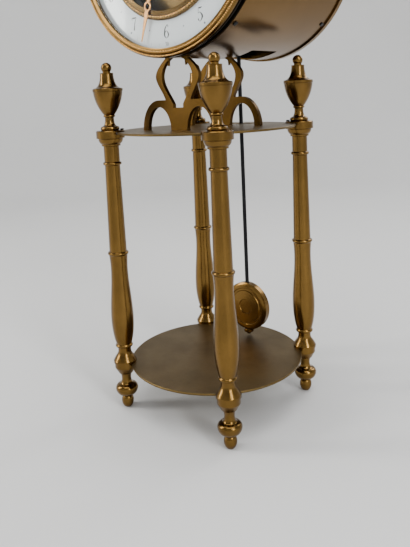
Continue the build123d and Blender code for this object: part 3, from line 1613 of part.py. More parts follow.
def pierced_hand(front, shown, length, loop_reach, frame_end, frame_width, bore, collar):
    """A slim hand: an open frame, a ring, and a point; it turns clockwise seen from the front."""
    frame_start = bore + 5.0
    loop_radius = 2.9
    with BuildPart() as hand:
        hub = facing(front + hand_thickness).origin
        across = (cos(radians(shown)), 0, -sin(radians(shown)))
        with BuildSketch(Plane(origin=hub, x_dir=across, z_dir=(0, -1, 0))):
            frame_middle = (frame_start + frame_end) / 2
            with Locations((0, frame_middle)):
                Ellipse(frame_width / 2, (frame_end - frame_start) / 2)
                Ellipse(frame_width / 2 - 0.95, (frame_end - frame_start) / 2 - 1.6, mode=Mode.SUBTRACT)
            with Locations((0, frame_middle)):
                Circle(frame_width * 0.3)
                Circle(frame_width * 0.3 - 0.8, mode=Mode.SUBTRACT)
            with Locations((0, (frame_middle + frame_width * 0.3 + frame_end) / 2)):
                Rectangle(0.8, frame_end - frame_middle - frame_width * 0.3 + 0.8)
            with Locations((0, (frame_middle - frame_width * 0.3 + frame_start) / 2)):
                Rectangle(0.8, frame_middle - frame_width * 0.3 - frame_start + 0.8)
            Polygon(
                (-1.6, 0),
                (1.6, 0),
                (0.9, frame_start + 1.0),
                (-0.9, frame_start + 1.0),
                align=None,
            )
            Polygon(
                (-0.7, frame_end - 0.9),
                (0.7, frame_end - 0.9),
                (0.8, loop_reach),
                (1.5, loop_reach + loop_radius + 1.6),
                (0.3, length),
                (-0.3, length),
                (-1.5, loop_reach + loop_radius + 1.6),
                (-0.8, loop_reach),
                align=None,
            )
            with Locations((0, loop_reach)):
                Circle(loop_radius)
                Circle(loop_radius - 1.0, mode=Mode.SUBTRACT)
        extrude(amount=hand_thickness)
        with BuildSketch(facing(front + hand_thickness)):
            Circle(bore + 1.4)
        extrude(amount=hand_thickness + collar)
        with BuildSketch(facing(front + 1)):
            Circle(bore)
        extrude(amount=3, mode=Mode.SUBTRACT)
    return hand


hour_turn = (hour_shown + minute_shown / 60) * 30
keep(
    pierced_hand(minute_hand_front, minute_shown * 6, minute_hand_length, 40.7, 38.6, 6.4, cannon_radius, 0.4),
    "minute_hand",
)
keep(
    pierced_hand(hour_hand_front, hour_turn, hour_hand_length, 25.6, 23.4, 7.4, hour_pipe_radius, 0.0),
    "hour_hand",
)
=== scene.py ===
"""The portico clock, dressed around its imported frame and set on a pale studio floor."""

import json
import logging
import math
from collections.abc import Iterable, Mapping, Sequence
from dataclasses import dataclass
from enum import Enum
from typing import Any

import bmesh
import bpy
from mathutils import Matrix, Vector

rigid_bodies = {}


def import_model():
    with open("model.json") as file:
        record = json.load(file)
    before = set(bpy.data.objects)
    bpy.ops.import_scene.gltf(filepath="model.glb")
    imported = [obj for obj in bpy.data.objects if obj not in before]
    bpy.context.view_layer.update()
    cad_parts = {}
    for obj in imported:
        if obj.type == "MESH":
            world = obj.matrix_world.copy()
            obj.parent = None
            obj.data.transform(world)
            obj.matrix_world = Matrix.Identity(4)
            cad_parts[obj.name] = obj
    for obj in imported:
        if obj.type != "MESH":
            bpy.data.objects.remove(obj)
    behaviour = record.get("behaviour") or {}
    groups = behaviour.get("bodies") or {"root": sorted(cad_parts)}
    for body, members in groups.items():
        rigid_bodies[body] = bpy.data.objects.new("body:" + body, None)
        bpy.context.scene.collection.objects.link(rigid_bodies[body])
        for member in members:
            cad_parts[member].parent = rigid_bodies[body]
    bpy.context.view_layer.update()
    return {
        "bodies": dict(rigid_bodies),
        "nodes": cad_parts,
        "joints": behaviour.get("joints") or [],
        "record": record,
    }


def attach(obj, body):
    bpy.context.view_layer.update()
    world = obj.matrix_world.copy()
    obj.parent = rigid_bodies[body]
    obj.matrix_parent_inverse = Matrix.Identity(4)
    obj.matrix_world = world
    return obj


LOG = logging.getLogger("portico_clock")
MM = 0.001

Colour = tuple[float, float, float, float]
Point2 = tuple[float, float]
Point3 = tuple[float, float, float]

BLACK: Colour = (0.0, 0.0, 0.0, 1.0)
WHITE: Colour = (1.0, 1.0, 1.0, 1.0)
COLOUR_RESULT = 2
FIRST_COLOUR = 6
SECOND_COLOUR = 7
GRAIN_SCALE = 2600.0
FRECKLE_SCALE = 620.0
FLAT_ON_FLOOR: Point3 = (0.0, 0.0, 0.0)
DIAL_LEVEL = 308.0 * MM
FIGURE_WIDTH = 0.60
HAIRLINE = 0.02


class Body(Enum):
    """The bodies of the clock that dressed pieces ride on."""

    FRAME = "frame"
    BEZEL = "bezel_door"
    NUT = "nut"


class Grain(Enum):
    """How a finish is rubbed, as the stretch of its fine grain along X, Y and Z."""

    ALONG_COLUMN = (1.0, 1.0, 0.05)
    AROUND_DRUM = (1.0, 0.04, 1.0)
    ACROSS_PLATE = (0.05, 1.0, 1.0)
    CAST = (1.0, 1.0, 1.0)


@dataclass(frozen=True)
class Wire:
    """A socket's value that takes part in plain arithmetic."""

    tree: bpy.types.NodeTree
    socket: bpy.types.NodeSocket

    def _math(self, operation: str, first: Any, second: Any) -> "Wire":
        """Adds one Math node.

        Args:
            operation: The Math node's operation.
            first: A wire or a number.
            second: A wire or a number.

        Returns:
            The wire of the result.
        """
        node = self.tree.nodes.new("ShaderNodeMath")
        node.operation = operation
        for slot, value in enumerate((first, second)):
            if isinstance(value, Wire):
                self.tree.links.new(value.socket, node.inputs[slot])
            else:
                node.inputs[slot].default_value = value
        return Wire(self.tree, node.outputs[0])

    def __add__(self, other: Any) -> "Wire":
        """Adds a wire or a number."""
        return self._math("ADD", self, other)

    __radd__ = __add__

    def __mul__(self, other: Any) -> "Wire":
        """Multiplies by a wire or a number."""
        return self._math("MULTIPLY", self, other)

    __rmul__ = __mul__

    def __sub__(self, other: Any) -> "Wire":
        """Takes away a wire or a number."""
        return self._math("SUBTRACT", self, other)

    def __rsub__(self, other: Any) -> "Wire":
        """Is taken away from a number."""
        return self._math("SUBTRACT", other, self)


@dataclass(frozen=True)
class Sheet:
    """A node tree that is written like a recipe."""

    tree: bpy.types.NodeTree

    def add(
        self,
        kind: str,
        settings: Mapping[str, Any] | None = None,
        sockets: Mapping[str | int, Any] | None = None,
        output: str | int | None = 0,
    ) -> Wire | None:
        """Adds one node.

        Args:
            kind: The node's type.
            settings: Its properties, or the stops of its ramp, which are set first.
            sockets: The values or wires of its inputs.
            output: The output that is wanted, or None for a node that ends the tree.

        Returns:
            The wire of that output, if there is one.
        """
        node = self.tree.nodes.new(kind)
        for name, value in (settings or {}).items():
            if name == "stops":
                self._stops(node, value)
            else:
                setattr(node, name, value)
        for name, value in (sockets or {}).items():
            if isinstance(value, Wire):
                self.tree.links.new(value.socket, node.inputs[name])
            else:
                node.inputs[name].default_value = value
        return None if output is None else Wire(self.tree, node.outputs[output])

    @staticmethod
    def _stops(node: bpy.types.Node, stops: Sequence[tuple[float, Colour]]) -> None:
        """Sets a ramp's stops, of which it has at least two."""
        elements = node.color_ramp.elements
        while len(elements) < len(stops):
            elements.new(1.0)
        for element, (place, colour) in zip(elements, stops):
            element.position = place
            element.color = colour


def blank_material(name: str) -> tuple[bpy.types.Material, Sheet]:
    """Makes an empty node material and the sheet that its nodes are written on."""
    material = bpy.data.materials.new(name)
    material.use_nodes = True
    material.node_tree.nodes.clear()
    return material, Sheet(material.node_tree)


def finish_material(sheet: Sheet, surface: Wire) -> None:
    """Joins a surface to the material's output."""
    sheet.add("ShaderNodeOutputMaterial", sockets={"Surface": surface}, output=None)


@dataclass(frozen=True)
class RubbedMetal:
    """Metal with a fine grain, slow changes of tone, tarnish and small specks."""

    name: str
    bright: Colour
    tarnish: Colour
    speck: Colour
    roughness: float = 0.34
    roughness_swing: float = 0.16
    grain: Grain = Grain.CAST
    grain_depth: float = 0.00003
    patch_scale: float = 28.0
    patch_share: float = 0.55
    speck_share: float = 0.35

    def build(self) -> bpy.types.Material:
        """Makes the material.

        Returns:
            A material whose colour, roughness and bump vary over the surface.
        """
        material, sheet = blank_material(self.name)
        place = sheet.add("ShaderNodeTexCoord", output="Object")
        drift = sheet.add(
            "ShaderNodeTexNoise",
            sockets={"Vector": place, "Scale": self.patch_scale, "Detail": 5.0, "Roughness": 0.62},
        )
        stretched = sheet.add(
            "ShaderNodeMapping",
            sockets={"Vector": place, "Scale": Vector(self.grain.value)},
        )
        lines = sheet.add(
            "ShaderNodeTexNoise",
            sockets={"Vector": stretched, "Scale": GRAIN_SCALE, "Detail": 3.0, "Roughness": 0.6},
        )
        dots = sheet.add(
            "ShaderNodeTexNoise",
            sockets={"Vector": place, "Scale": FRECKLE_SCALE, "Detail": 4.0, "Roughness": 0.7},
        )
        patches = sheet.add(
            "ShaderNodeValToRGB",
            {"stops": ((0.5 - self.patch_share * 0.28, BLACK), (0.72, WHITE))},
            {"Fac": drift},
        )
        worn = sheet.add(
            "ShaderNodeMix",
            {"data_type": "RGBA"},
            {
                "Factor": patches * self.patch_share,
                FIRST_COLOUR: self.bright,
                SECOND_COLOUR: self.tarnish,
            },
            output=COLOUR_RESULT,
        )
        freckles = sheet.add(
            "ShaderNodeValToRGB",
            {"stops": ((0.60, BLACK), (0.74, WHITE))},
            {"Fac": dots},
        )
        colour = sheet.add(
            "ShaderNodeMix",
            {"data_type": "RGBA"},
            {
                "Factor": freckles * self.speck_share,
                FIRST_COLOUR: worn,
                SECOND_COLOUR: self.speck,
            },
            output=COLOUR_RESULT,
        )
        rough = (
            (lines - 0.5) * self.roughness_swing
            + (drift - 0.5) * self.roughness_swing
            + self.roughness
        )
        bump = sheet.add(
            "ShaderNodeBump",
            sockets={"Strength": 1.0, "Distance": self.grain_depth, "Height": lines + dots * 0.6},
        )
        surface = sheet.add(
            "ShaderNodeBsdfPrincipled",
            sockets={"Base Color": colour, "Metallic": 1.0, "Roughness": rough, "Normal": bump},
        )
        finish_material(sheet, surface)
        return material


@dataclass(frozen=True)
class Glaze:
    """Enamel or paint with a glossy coat and faint unevenness."""

    name: str
    colour: Colour
    shade: Colour
    roughness: float = 0.16
    coat: float = 0.6

    def build(self) -> bpy.types.Material:
        """Makes the material.

        Returns:
            A glossy material with a slow drift of tone.
        """
        material, sheet = blank_material(self.name)
        place = sheet.add("ShaderNodeTexCoord", output="Object")
        drift = sheet.add(
            "ShaderNodeTexNoise",
            sockets={"Vector": place, "Scale": 70.0, "Detail": 4.0, "Roughness": 0.6},
        )
        colour = sheet.add(
            "ShaderNodeMix",
            {"data_type": "RGBA"},
            {"Factor": drift * 0.5, FIRST_COLOUR: self.colour, SECOND_COLOUR: self.shade},
            output=COLOUR_RESULT,
        )
        bump = sheet.add(
            "ShaderNodeBump",
            sockets={"Strength": 0.4, "Distance": 0.00006, "Height": drift},
        )
        surface = sheet.add(
            "ShaderNodeBsdfPrincipled",
            sockets={
                "Base Color": colour,
                "Roughness": (drift - 0.5) * 0.12 + self.roughness,
                "Coat Weight": self.coat,
                "Normal": bump,
            },
        )
        finish_material(sheet, surface)
        return material


@dataclass(frozen=True)
class ClearGlass:
    """Thin domed glass that shows mostly as reflections."""

    name: str
    tint: Colour
    gloss: Colour
    body: float = 0.015
    edge_gloss: float = 0.45

    def build(self) -> bpy.types.Material:
        """Makes the material.

        Returns:
            Clear glass with a faint film.
        """
        material, sheet = blank_material(self.name)
        place = sheet.add("ShaderNodeTexCoord", output="Object")
        film = sheet.add(
            "ShaderNodeTexNoise", sockets={"Vector": place, "Scale": 40.0, "Detail": 3.0}
        )
        clear = sheet.add("ShaderNodeBsdfTransparent", sockets={"Color": self.tint})
        gloss = sheet.add(
            "ShaderNodeBsdfPrincipled",
            sockets={"Base Color": self.gloss, "Metallic": 1.0, "Roughness": film * 0.04 + 0.02},
        )
        facing = sheet.add("ShaderNodeLayerWeight", sockets={"Blend": 0.5}, output="Facing")
        square = facing * facing
        edge = square * square * self.edge_gloss + self.body
        surface = sheet.add("ShaderNodeMixShader", sockets={0: edge, 1: clear, 2: gloss})
        finish_material(sheet, surface)
        return material


class Finishes:
    """Every finish on the clock, made once and handed out by the record's slot."""

    def __init__(self) -> None:
        """Makes the materials."""
        gilt_speck = (0.045, 0.024, 0.009, 1.0)
        recipes = (
            RubbedMetal(
                "gilt_brass",
                bright=(0.175, 0.098, 0.026, 1.0),
                tarnish=(0.058, 0.032, 0.009, 1.0),
                speck=gilt_speck,
                roughness=0.21,
                roughness_swing=0.10,
                grain=Grain.ALONG_COLUMN,
            ),
            RubbedMetal(
                "plate_brass",
                bright=(0.165, 0.106, 0.037, 1.0),
                tarnish=(0.080, 0.054, 0.020, 1.0),
                speck=(0.035, 0.023, 0.012, 1.0),
                roughness=0.42,
                grain=Grain.ACROSS_PLATE,
                grain_depth=0.00005,
                patch_scale=34.0,
                patch_share=0.8,
                speck_share=0.6,
            ),
            RubbedMetal(
                "bracket_brass",
                bright=(0.110, 0.058, 0.012, 1.0),
                tarnish=(0.050, 0.025, 0.006, 1.0),
                speck=(0.03, 0.015, 0.007, 1.0),
                roughness=0.34,
                grain_depth=0.00008,
            ),
            RubbedMetal(
                "drum_brass",
                bright=(0.145, 0.078, 0.018, 1.0),
                tarnish=(0.085, 0.042, 0.010, 1.0),
                speck=gilt_speck,
                roughness=0.24,
                roughness_swing=0.08,
                grain=Grain.AROUND_DRUM,
                grain_depth=0.00001,
                patch_scale=14.0,
                patch_share=0.6,
                speck_share=0.12,
            ),
            # Near-black brass; on the capitals' screw heads it is painted shade for the slots.
            RubbedMetal(
                "dark_brass",
                bright=(0.030, 0.024, 0.018, 1.0),
                tarnish=(0.012, 0.010, 0.008, 1.0),
                speck=(0.06, 0.045, 0.03, 1.0),
                roughness=0.42,
            ),
            RubbedMetal(
                "movement_brass",
                bright=(0.125, 0.080, 0.031, 1.0),
                tarnish=(0.060, 0.037, 0.014, 1.0),
                speck=gilt_speck,
                roughness=0.3,
                grain=Grain.AROUND_DRUM,
            ),
            RubbedMetal(
                "hand_gilt",
                bright=(0.48, 0.235, 0.085, 1.0),
                tarnish=(0.25, 0.115, 0.040, 1.0),
                speck=gilt_speck,
                roughness=0.3,
            ),
            RubbedMetal(
                "steel",
                bright=(0.55, 0.55, 0.56, 1.0),
                tarnish=(0.30, 0.29, 0.28, 1.0),
                speck=(0.12, 0.09, 0.07, 1.0),
                roughness=0.28,
            ),
            RubbedMetal(
                "black_steel",
                bright=(0.020, 0.020, 0.022, 1.0),
                tarnish=(0.008, 0.008, 0.009, 1.0),
                speck=(0.05, 0.04, 0.035, 1.0),
                roughness=0.36,
            ),
            Glaze("enamel", (0.86, 0.88, 0.90, 1.0), (0.76, 0.79, 0.83, 1.0)),
            Glaze("ink", (0.012, 0.012, 0.014, 1.0), (0.03, 0.03, 0.034, 1.0), roughness=0.3),
            Glaze("pale_ink", (0.08, 0.11, 0.17, 1.0), (0.20, 0.24, 0.30, 1.0), roughness=0.3),
            Glaze("faint_ink", (0.42, 0.44, 0.47, 1.0), (0.58, 0.60, 0.63, 1.0), roughness=0.3),
            RubbedMetal(
                "bead_gilt",
                bright=(0.66, 0.39, 0.13, 1.0),
                tarnish=(0.38, 0.21, 0.065, 1.0),
                speck=gilt_speck,
                roughness=0.17,
            ),
            ClearGlass("glass", (0.985, 0.995, 0.99, 1.0), (0.80, 0.82, 0.82, 1.0)),
        )
        self._made = {recipe.name: recipe.build() for recipe in recipes}

    def __getitem__(self, name: str) -> bpy.types.Material:
        """The finish of that name."""
        return self._made[name]

    def dress(self, frame: Mapping[str, Any]) -> None:
        """Gives every carried-over node the finish of its slot.

        Args:
            frame: What the loaded frame holds.
        """
        for entry in frame["record"]["subparts"]:
            node = frame["nodes"][entry["node"]]
            node.data.materials.clear()
            node.data.materials.append(self[entry["material_slot"]])
        LOG.info("dressed %d nodes", len(frame["nodes"]))


def piece_from(name: str, mesh: bpy.types.Mesh, material: bpy.types.Material) -> bpy.types.Object:
    """Puts a mesh into the scene as one untransformed object with one material."""
    piece = bpy.data.objects.new(name, mesh)
    bpy.context.scene.collection.objects.link(piece)
    mesh.materials.clear()
    mesh.materials.append(material)
    return piece


def settle(piece: bpy.types.Object, body: Body) -> bpy.types.Object:
    """Makes a finished piece ride on its body."""
    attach(piece, body.value)
    LOG.info("%s rides on %s, %d faces", piece.name, body.value, len(piece.data.polygons))
    return piece


class Tree:
    """A geometry node tree under construction, with named inputs for its sizes."""

    def __init__(self, name: str) -> None:
        """Starts a tree that takes and gives geometry."""
        self.group = bpy.data.node_groups.new(name, "GeometryNodeTree")
        face = self.group.interface
        face.new_socket("Geometry", in_out="INPUT", socket_type="NodeSocketGeometry")
        face.new_socket("Geometry", in_out="OUTPUT", socket_type="NodeSocketGeometry")
        self.sheet = Sheet(self.group)
        self.inputs = self.group.nodes.new("NodeGroupInput")

    def size(self, name: str, kind: str = "NodeSocketFloat") -> Wire:
        """Adds a named input and gives its wire."""
        self.group.interface.new_socket(name, in_out="INPUT", socket_type=kind)
        return Wire(self.group, self.inputs.outputs[name])

    def close(self, result: Wire, material: bpy.types.Material) -> None:
        """Ends the tree with real, dressed geometry."""
        solid = self.sheet.add("GeometryNodeRealizeInstances", sockets={"Geometry": result})
        dressed = self.sheet.add(
            "GeometryNodeSetMaterial", sockets={"Geometry": solid, "Material": material}
        )
        self.sheet.add("NodeGroupOutput", sockets={0: dressed}, output=None)

    def grow(
        self, name: str, sizes: Mapping[str, Any], material: bpy.types.Material
    ) -> bpy.types.Object:
        """Runs the tree and keeps its result as a plain mesh.

        Args:
            name: The piece's name.
            sizes: The values of the tree's named inputs.
            material: The piece's material.

        Returns:
            The piece, with no modifier left on it.
        """
        seed = bpy.data.objects.new(name + "_seed", bpy.data.meshes.new(name + "_seed"))
        bpy.context.scene.collection.objects.link(seed)
        modifier = seed.modifiers.new("grow", "NODES")
        modifier.node_group = self.group
        for item in self.group.interface.items_tree:
            if item.item_type == "SOCKET" and item.in_out == "INPUT" and item.name in sizes:
                modifier[item.identifier] = sizes[item.name]
        bpy.context.view_layer.update()
        graph = bpy.context.evaluated_depsgraph_get()
        mesh = bpy.data.meshes.new_from_object(seed.evaluated_get(graph))
        bpy.data.objects.remove(seed)
        return piece_from(name, mesh, material)


class MarkShape(Enum):
    """The small shapes that are set around a circle."""

    BEAD = "bead"
    BAR = "bar"
    DOT = "dot"


@dataclass(frozen=True)
class MarkRing:
    """A ring of equal small shapes, grown by a node tree with named sizes."""

    shape: MarkShape
    count: int
    ring_radius: float
    size: Point3
    centre: Point3
    facing: Point3 = (math.pi / 2, 0.0, 0.0)
    skip_every: int = 0
    start_turn: float = 0.0

    def _mark(self, sheet: Sheet, size: Wire) -> Wire:
        """Draws one mark.

        Args:
            sheet: The sheet that the tree is written on.
            size: The mark's length across, along and through the ring.

        Returns:
            The mark's geometry.
        """
        if self.shape is MarkShape.BAR:
            return sheet.add("GeometryNodeMeshCube", sockets={"Size": size})
        parts = sheet.add("ShaderNodeSeparateXYZ", sockets={"Vector": size})
        if self.shape is MarkShape.DOT:
            through = Wire(sheet.tree, parts.socket.node.outputs[2])
            return sheet.add(
                "GeometryNodeMeshCylinder",
                sockets={"Vertices": 14, "Radius": parts, "Depth": through},
            )
        bead = sheet.add(
            "GeometryNodeMeshUVSphere", sockets={"Segments": 8, "Rings": 5, "Radius": parts}
        )
        return sheet.add("GeometryNodeSetShadeSmooth", sockets={"Geometry": bead})

    def grow(self, name: str, material: bpy.types.Material) -> bpy.types.Object:
        """Makes the ring as one plain piece.

        Args:
            name: The piece's name.
            material: The piece's material.

        Returns:
            The finished piece.
        """
        tree = Tree(name + "_tree")
        count = tree.size("Count", "NodeSocketInt")
        ring_radius = tree.size("Ring Radius")
        size = tree.size("Mark Size", "NodeSocketVector")
        centre = tree.size("Centre", "NodeSocketVector")
        facing = tree.size("Facing", "NodeSocketVector")
        skip = tree.size("Skip Every", "NodeSocketInt")
        turn = tree.size("Start Turn")
        sheet = tree.sheet
        path = sheet.add(
            "GeometryNodeMeshCircle",
            {"fill_type": "NONE"},
            {"Vertices": count, "Radius": ring_radius},
        )
        index = sheet.add("GeometryNodeInputIndex")
        spin = index * (2 * math.pi / self.count)
        place = sheet.add("ShaderNodeCombineXYZ", sockets={"Z": spin})
        kept = sheet.add("ShaderNodeMath", {"operation": "MODULO"}, {0: index, 1: skip})
        points = sheet.add(
            "GeometryNodeInstanceOnPoints",
            sockets={
                "Points": path,
                "Instance": self._mark(sheet, size),
                "Rotation": place,
                **({"Selection": kept} if self.skip_every else {}),
            },
        )
        offset = sheet.add("ShaderNodeCombineXYZ", sockets={"Z": turn})
        turned = sheet.add(
            "GeometryNodeTransform", sockets={"Geometry": points, "Rotation": offset}
        )
        set_up = sheet.add(
            "GeometryNodeTransform",
            sockets={"Geometry": turned, "Translation": centre, "Rotation": facing},
        )
        tree.close(set_up, material)
        return tree.grow(
            name,
            {
                "Count": self.count,
                "Ring Radius": self.ring_radius,
                "Mark Size": self.size,
                "Centre": self.centre,
                "Facing": self.facing,
                "Skip Every": max(self.skip_every, 1),
                "Start Turn": self.start_turn,
            },
            material,
        )


@dataclass(frozen=True)
class PenFigures:
    """Figures written with a broad pen: thick downstrokes, hairline turns and round ends."""

    samples: int = 7
    advance: float = 0.64
    narrowing: float = 0.92

    @staticmethod
    def _strokes(figure: str) -> tuple[tuple[Point3, ...], ...]:
        """The pen's path and width for one figure, one unit high."""
        bowl = ((0.30, 0.01, 0.03), (0.08, 0.27, 0.13), (0.30, 0.545, 0.03), (0.52, 0.27, 0.13))
        figures = {
            "0": (
                (
                    (0.30, 0.01, 0.03),
                    (0.07, 0.50, 0.13),
                    (0.30, 0.99, 0.03),
                    (0.53, 0.50, 0.13),
                    (0.30, 0.01, 0.03),
                ),
            ),
            "1": (
                ((0.34, 1.0, 0.13), (0.34, 0.5, 0.13), (0.34, 0.0, 0.13)),
                ((0.12, 0.78, 0.03), (0.24, 0.86, 0.05), (0.34, 0.99, 0.09)),
                ((0.16, 0.015, 0.03), (0.34, 0.015, 0.03), (0.52, 0.015, 0.03)),
            ),
            "2": (
                (
                    (0.12, 0.72, 0.12),
                    (0.13, 0.86, 0.06),
                    (0.30, 0.985, 0.03),
                    (0.50, 0.76, 0.13),
                    (0.34, 0.40, 0.07),
                    (0.06, 0.05, 0.03),
                ),
                ((0.06, 0.06, 0.04), (0.24, 0.085, 0.12), (0.44, 0.05, 0.09), (0.56, 0.24, 0.03)),
            ),
            "3": (
                (
                    (0.12, 0.80, 0.11),
                    (0.16, 0.94, 0.05),
                    (0.30, 0.985, 0.03),
                    (0.47, 0.78, 0.12),
                    (0.26, 0.55, 0.03),
                ),
                (
                    (0.26, 0.55, 0.03),
                    (0.52, 0.28, 0.13),
                    (0.30, 0.015, 0.03),
                    (0.13, 0.08, 0.05),
                    (0.10, 0.20, 0.11),
                ),
            ),
            "4": (
                ((0.42, 1.0, 0.12), (0.42, 0.5, 0.12), (0.42, 0.0, 0.12)),
                ((0.40, 1.0, 0.03), (0.22, 0.64, 0.03), (0.02, 0.29, 0.03)),
                ((0.02, 0.27, 0.035), (0.30, 0.27, 0.035), (0.60, 0.27, 0.035)),
            ),
            "5": (
                ((0.14, 0.97, 0.03), (0.12, 0.78, 0.03), (0.10, 0.57, 0.03)),
                ((0.14, 0.95, 0.07), (0.32, 0.93, 0.10), (0.50, 0.99, 0.03)),
                (
                    (0.10, 0.56, 0.03),
                    (0.28, 0.63, 0.04),
                    (0.51, 0.34, 0.15),
                    (0.30, 0.01, 0.03),
                    (0.13, 0.07, 0.06),
                    (0.10, 0.19, 0.12),
                ),
            ),
            "6": (
                (*bowl, bowl[0]),
                ((0.50, 0.84, 0.09), (0.42, 0.985, 0.03), (0.16, 0.70, 0.11), (0.08, 0.27, 0.13)),
            ),
            "7": (
                ((0.06, 0.78, 0.03), (0.09, 0.95, 0.06), (0.30, 0.93, 0.11), (0.56, 0.97, 0.04)),
                ((0.56, 0.97, 0.03), (0.36, 0.50, 0.08), (0.26, 0.0, 0.15)),
            ),
            "8": (
                (
                    (0.30, 0.545, 0.03),
                    (0.12, 0.77, 0.09),
                    (0.30, 0.99, 0.03),
                    (0.48, 0.77, 0.09),
                    (0.30, 0.545, 0.03),
                ),
                (
                    (0.30, 0.545, 0.03),
                    (0.07, 0.28, 0.12),
                    (0.30, 0.01, 0.03),
                    (0.53, 0.28, 0.12),
                    (0.30, 0.545, 0.03),
                ),
            ),
        }
        if figure == "9":
            return tuple(
                tuple((FIGURE_WIDTH - x, 1.0 - y, width) for x, y, width in stroke)
                for stroke in figures["6"]
            )
        return figures[figure]

    def _ribbon(
        self, shape: bmesh.types.BMesh, stroke: Sequence[Point3], put: Matrix
    ) -> None:
        """Lays one stroke down as a ribbon of faces.

        Args:
            shape: The mesh that is being written on.
            stroke: Points of the stroke with the pen's width at each.
            put: The matrix from the figure's unit square to the dial.
        """
        points = [Vector(point) for point in stroke]
        ends = [2 * points[0] - points[1], *points, 2 * points[-1] - points[-2]]
        if (points[0] - points[-1]).length < 1e-6:
            ends[0], ends[-1] = points[-2], points[1]
        path = []
        for before, first, second, after in zip(ends, ends[1:], ends[2:], ends[3:]):
            for step in range(self.samples):
                t = step / self.samples
                path.append(
                    0.5
                    * (
                        2 * first
                        + (second - before) * t
                        + (2 * before - 5 * first + 4 * second - after) * t * t
                        + (3 * first - before - 3 * second + after) * t**3
                    )
                )
        path.append(points[-1])
        rails = []
        for place, point in enumerate(path):
            ahead = path[min(place + 1, len(path) - 1)] - path[max(place - 1, 0)]
            side = Vector((-ahead.y, ahead.x)).normalized() * max(point.z, HAIRLINE) / 2
            edges = ((point.x + way * side.x, point.y + way * side.y, 0) for way in (1, -1))
            rails.append([shape.verts.new(put @ Vector(edge)) for edge in edges])
        for here, there in zip(rails, rails[1:]):
            shape.faces.new((here[0], here[1], there[1], there[0]))

    def write(
        self, shape: bmesh.types.BMesh, text: str, centre: Point2, height: float, front: float
    ) -> None:
        """Writes a number, upright and centred on a point of the dial.

        Args:
            shape: The mesh that is being written on.
            text: The number.
            centre: The place of its middle, across and up.
            height: The height of its figures.
            front: The depth of the surface that it is written on.
        """
        width = self.advance * (len(text) - 1) + FIGURE_WIDTH
        for place, figure in enumerate(text):
            left = centre[0] + (place * self.advance - width / 2) * height * self.narrowing
            put = Matrix(
                (
                    (height * self.narrowing, 0.0, 0.0, left),
                    (0.0, 0.0, 1.0, front),
                    (0.0, height, 0.0, centre[1] - height / 2),
                    (0.0, 0.0, 0.0, 1.0),
                )
            )
            for stroke in self._strokes(figure):
                self._ribbon(shape, stroke, put)


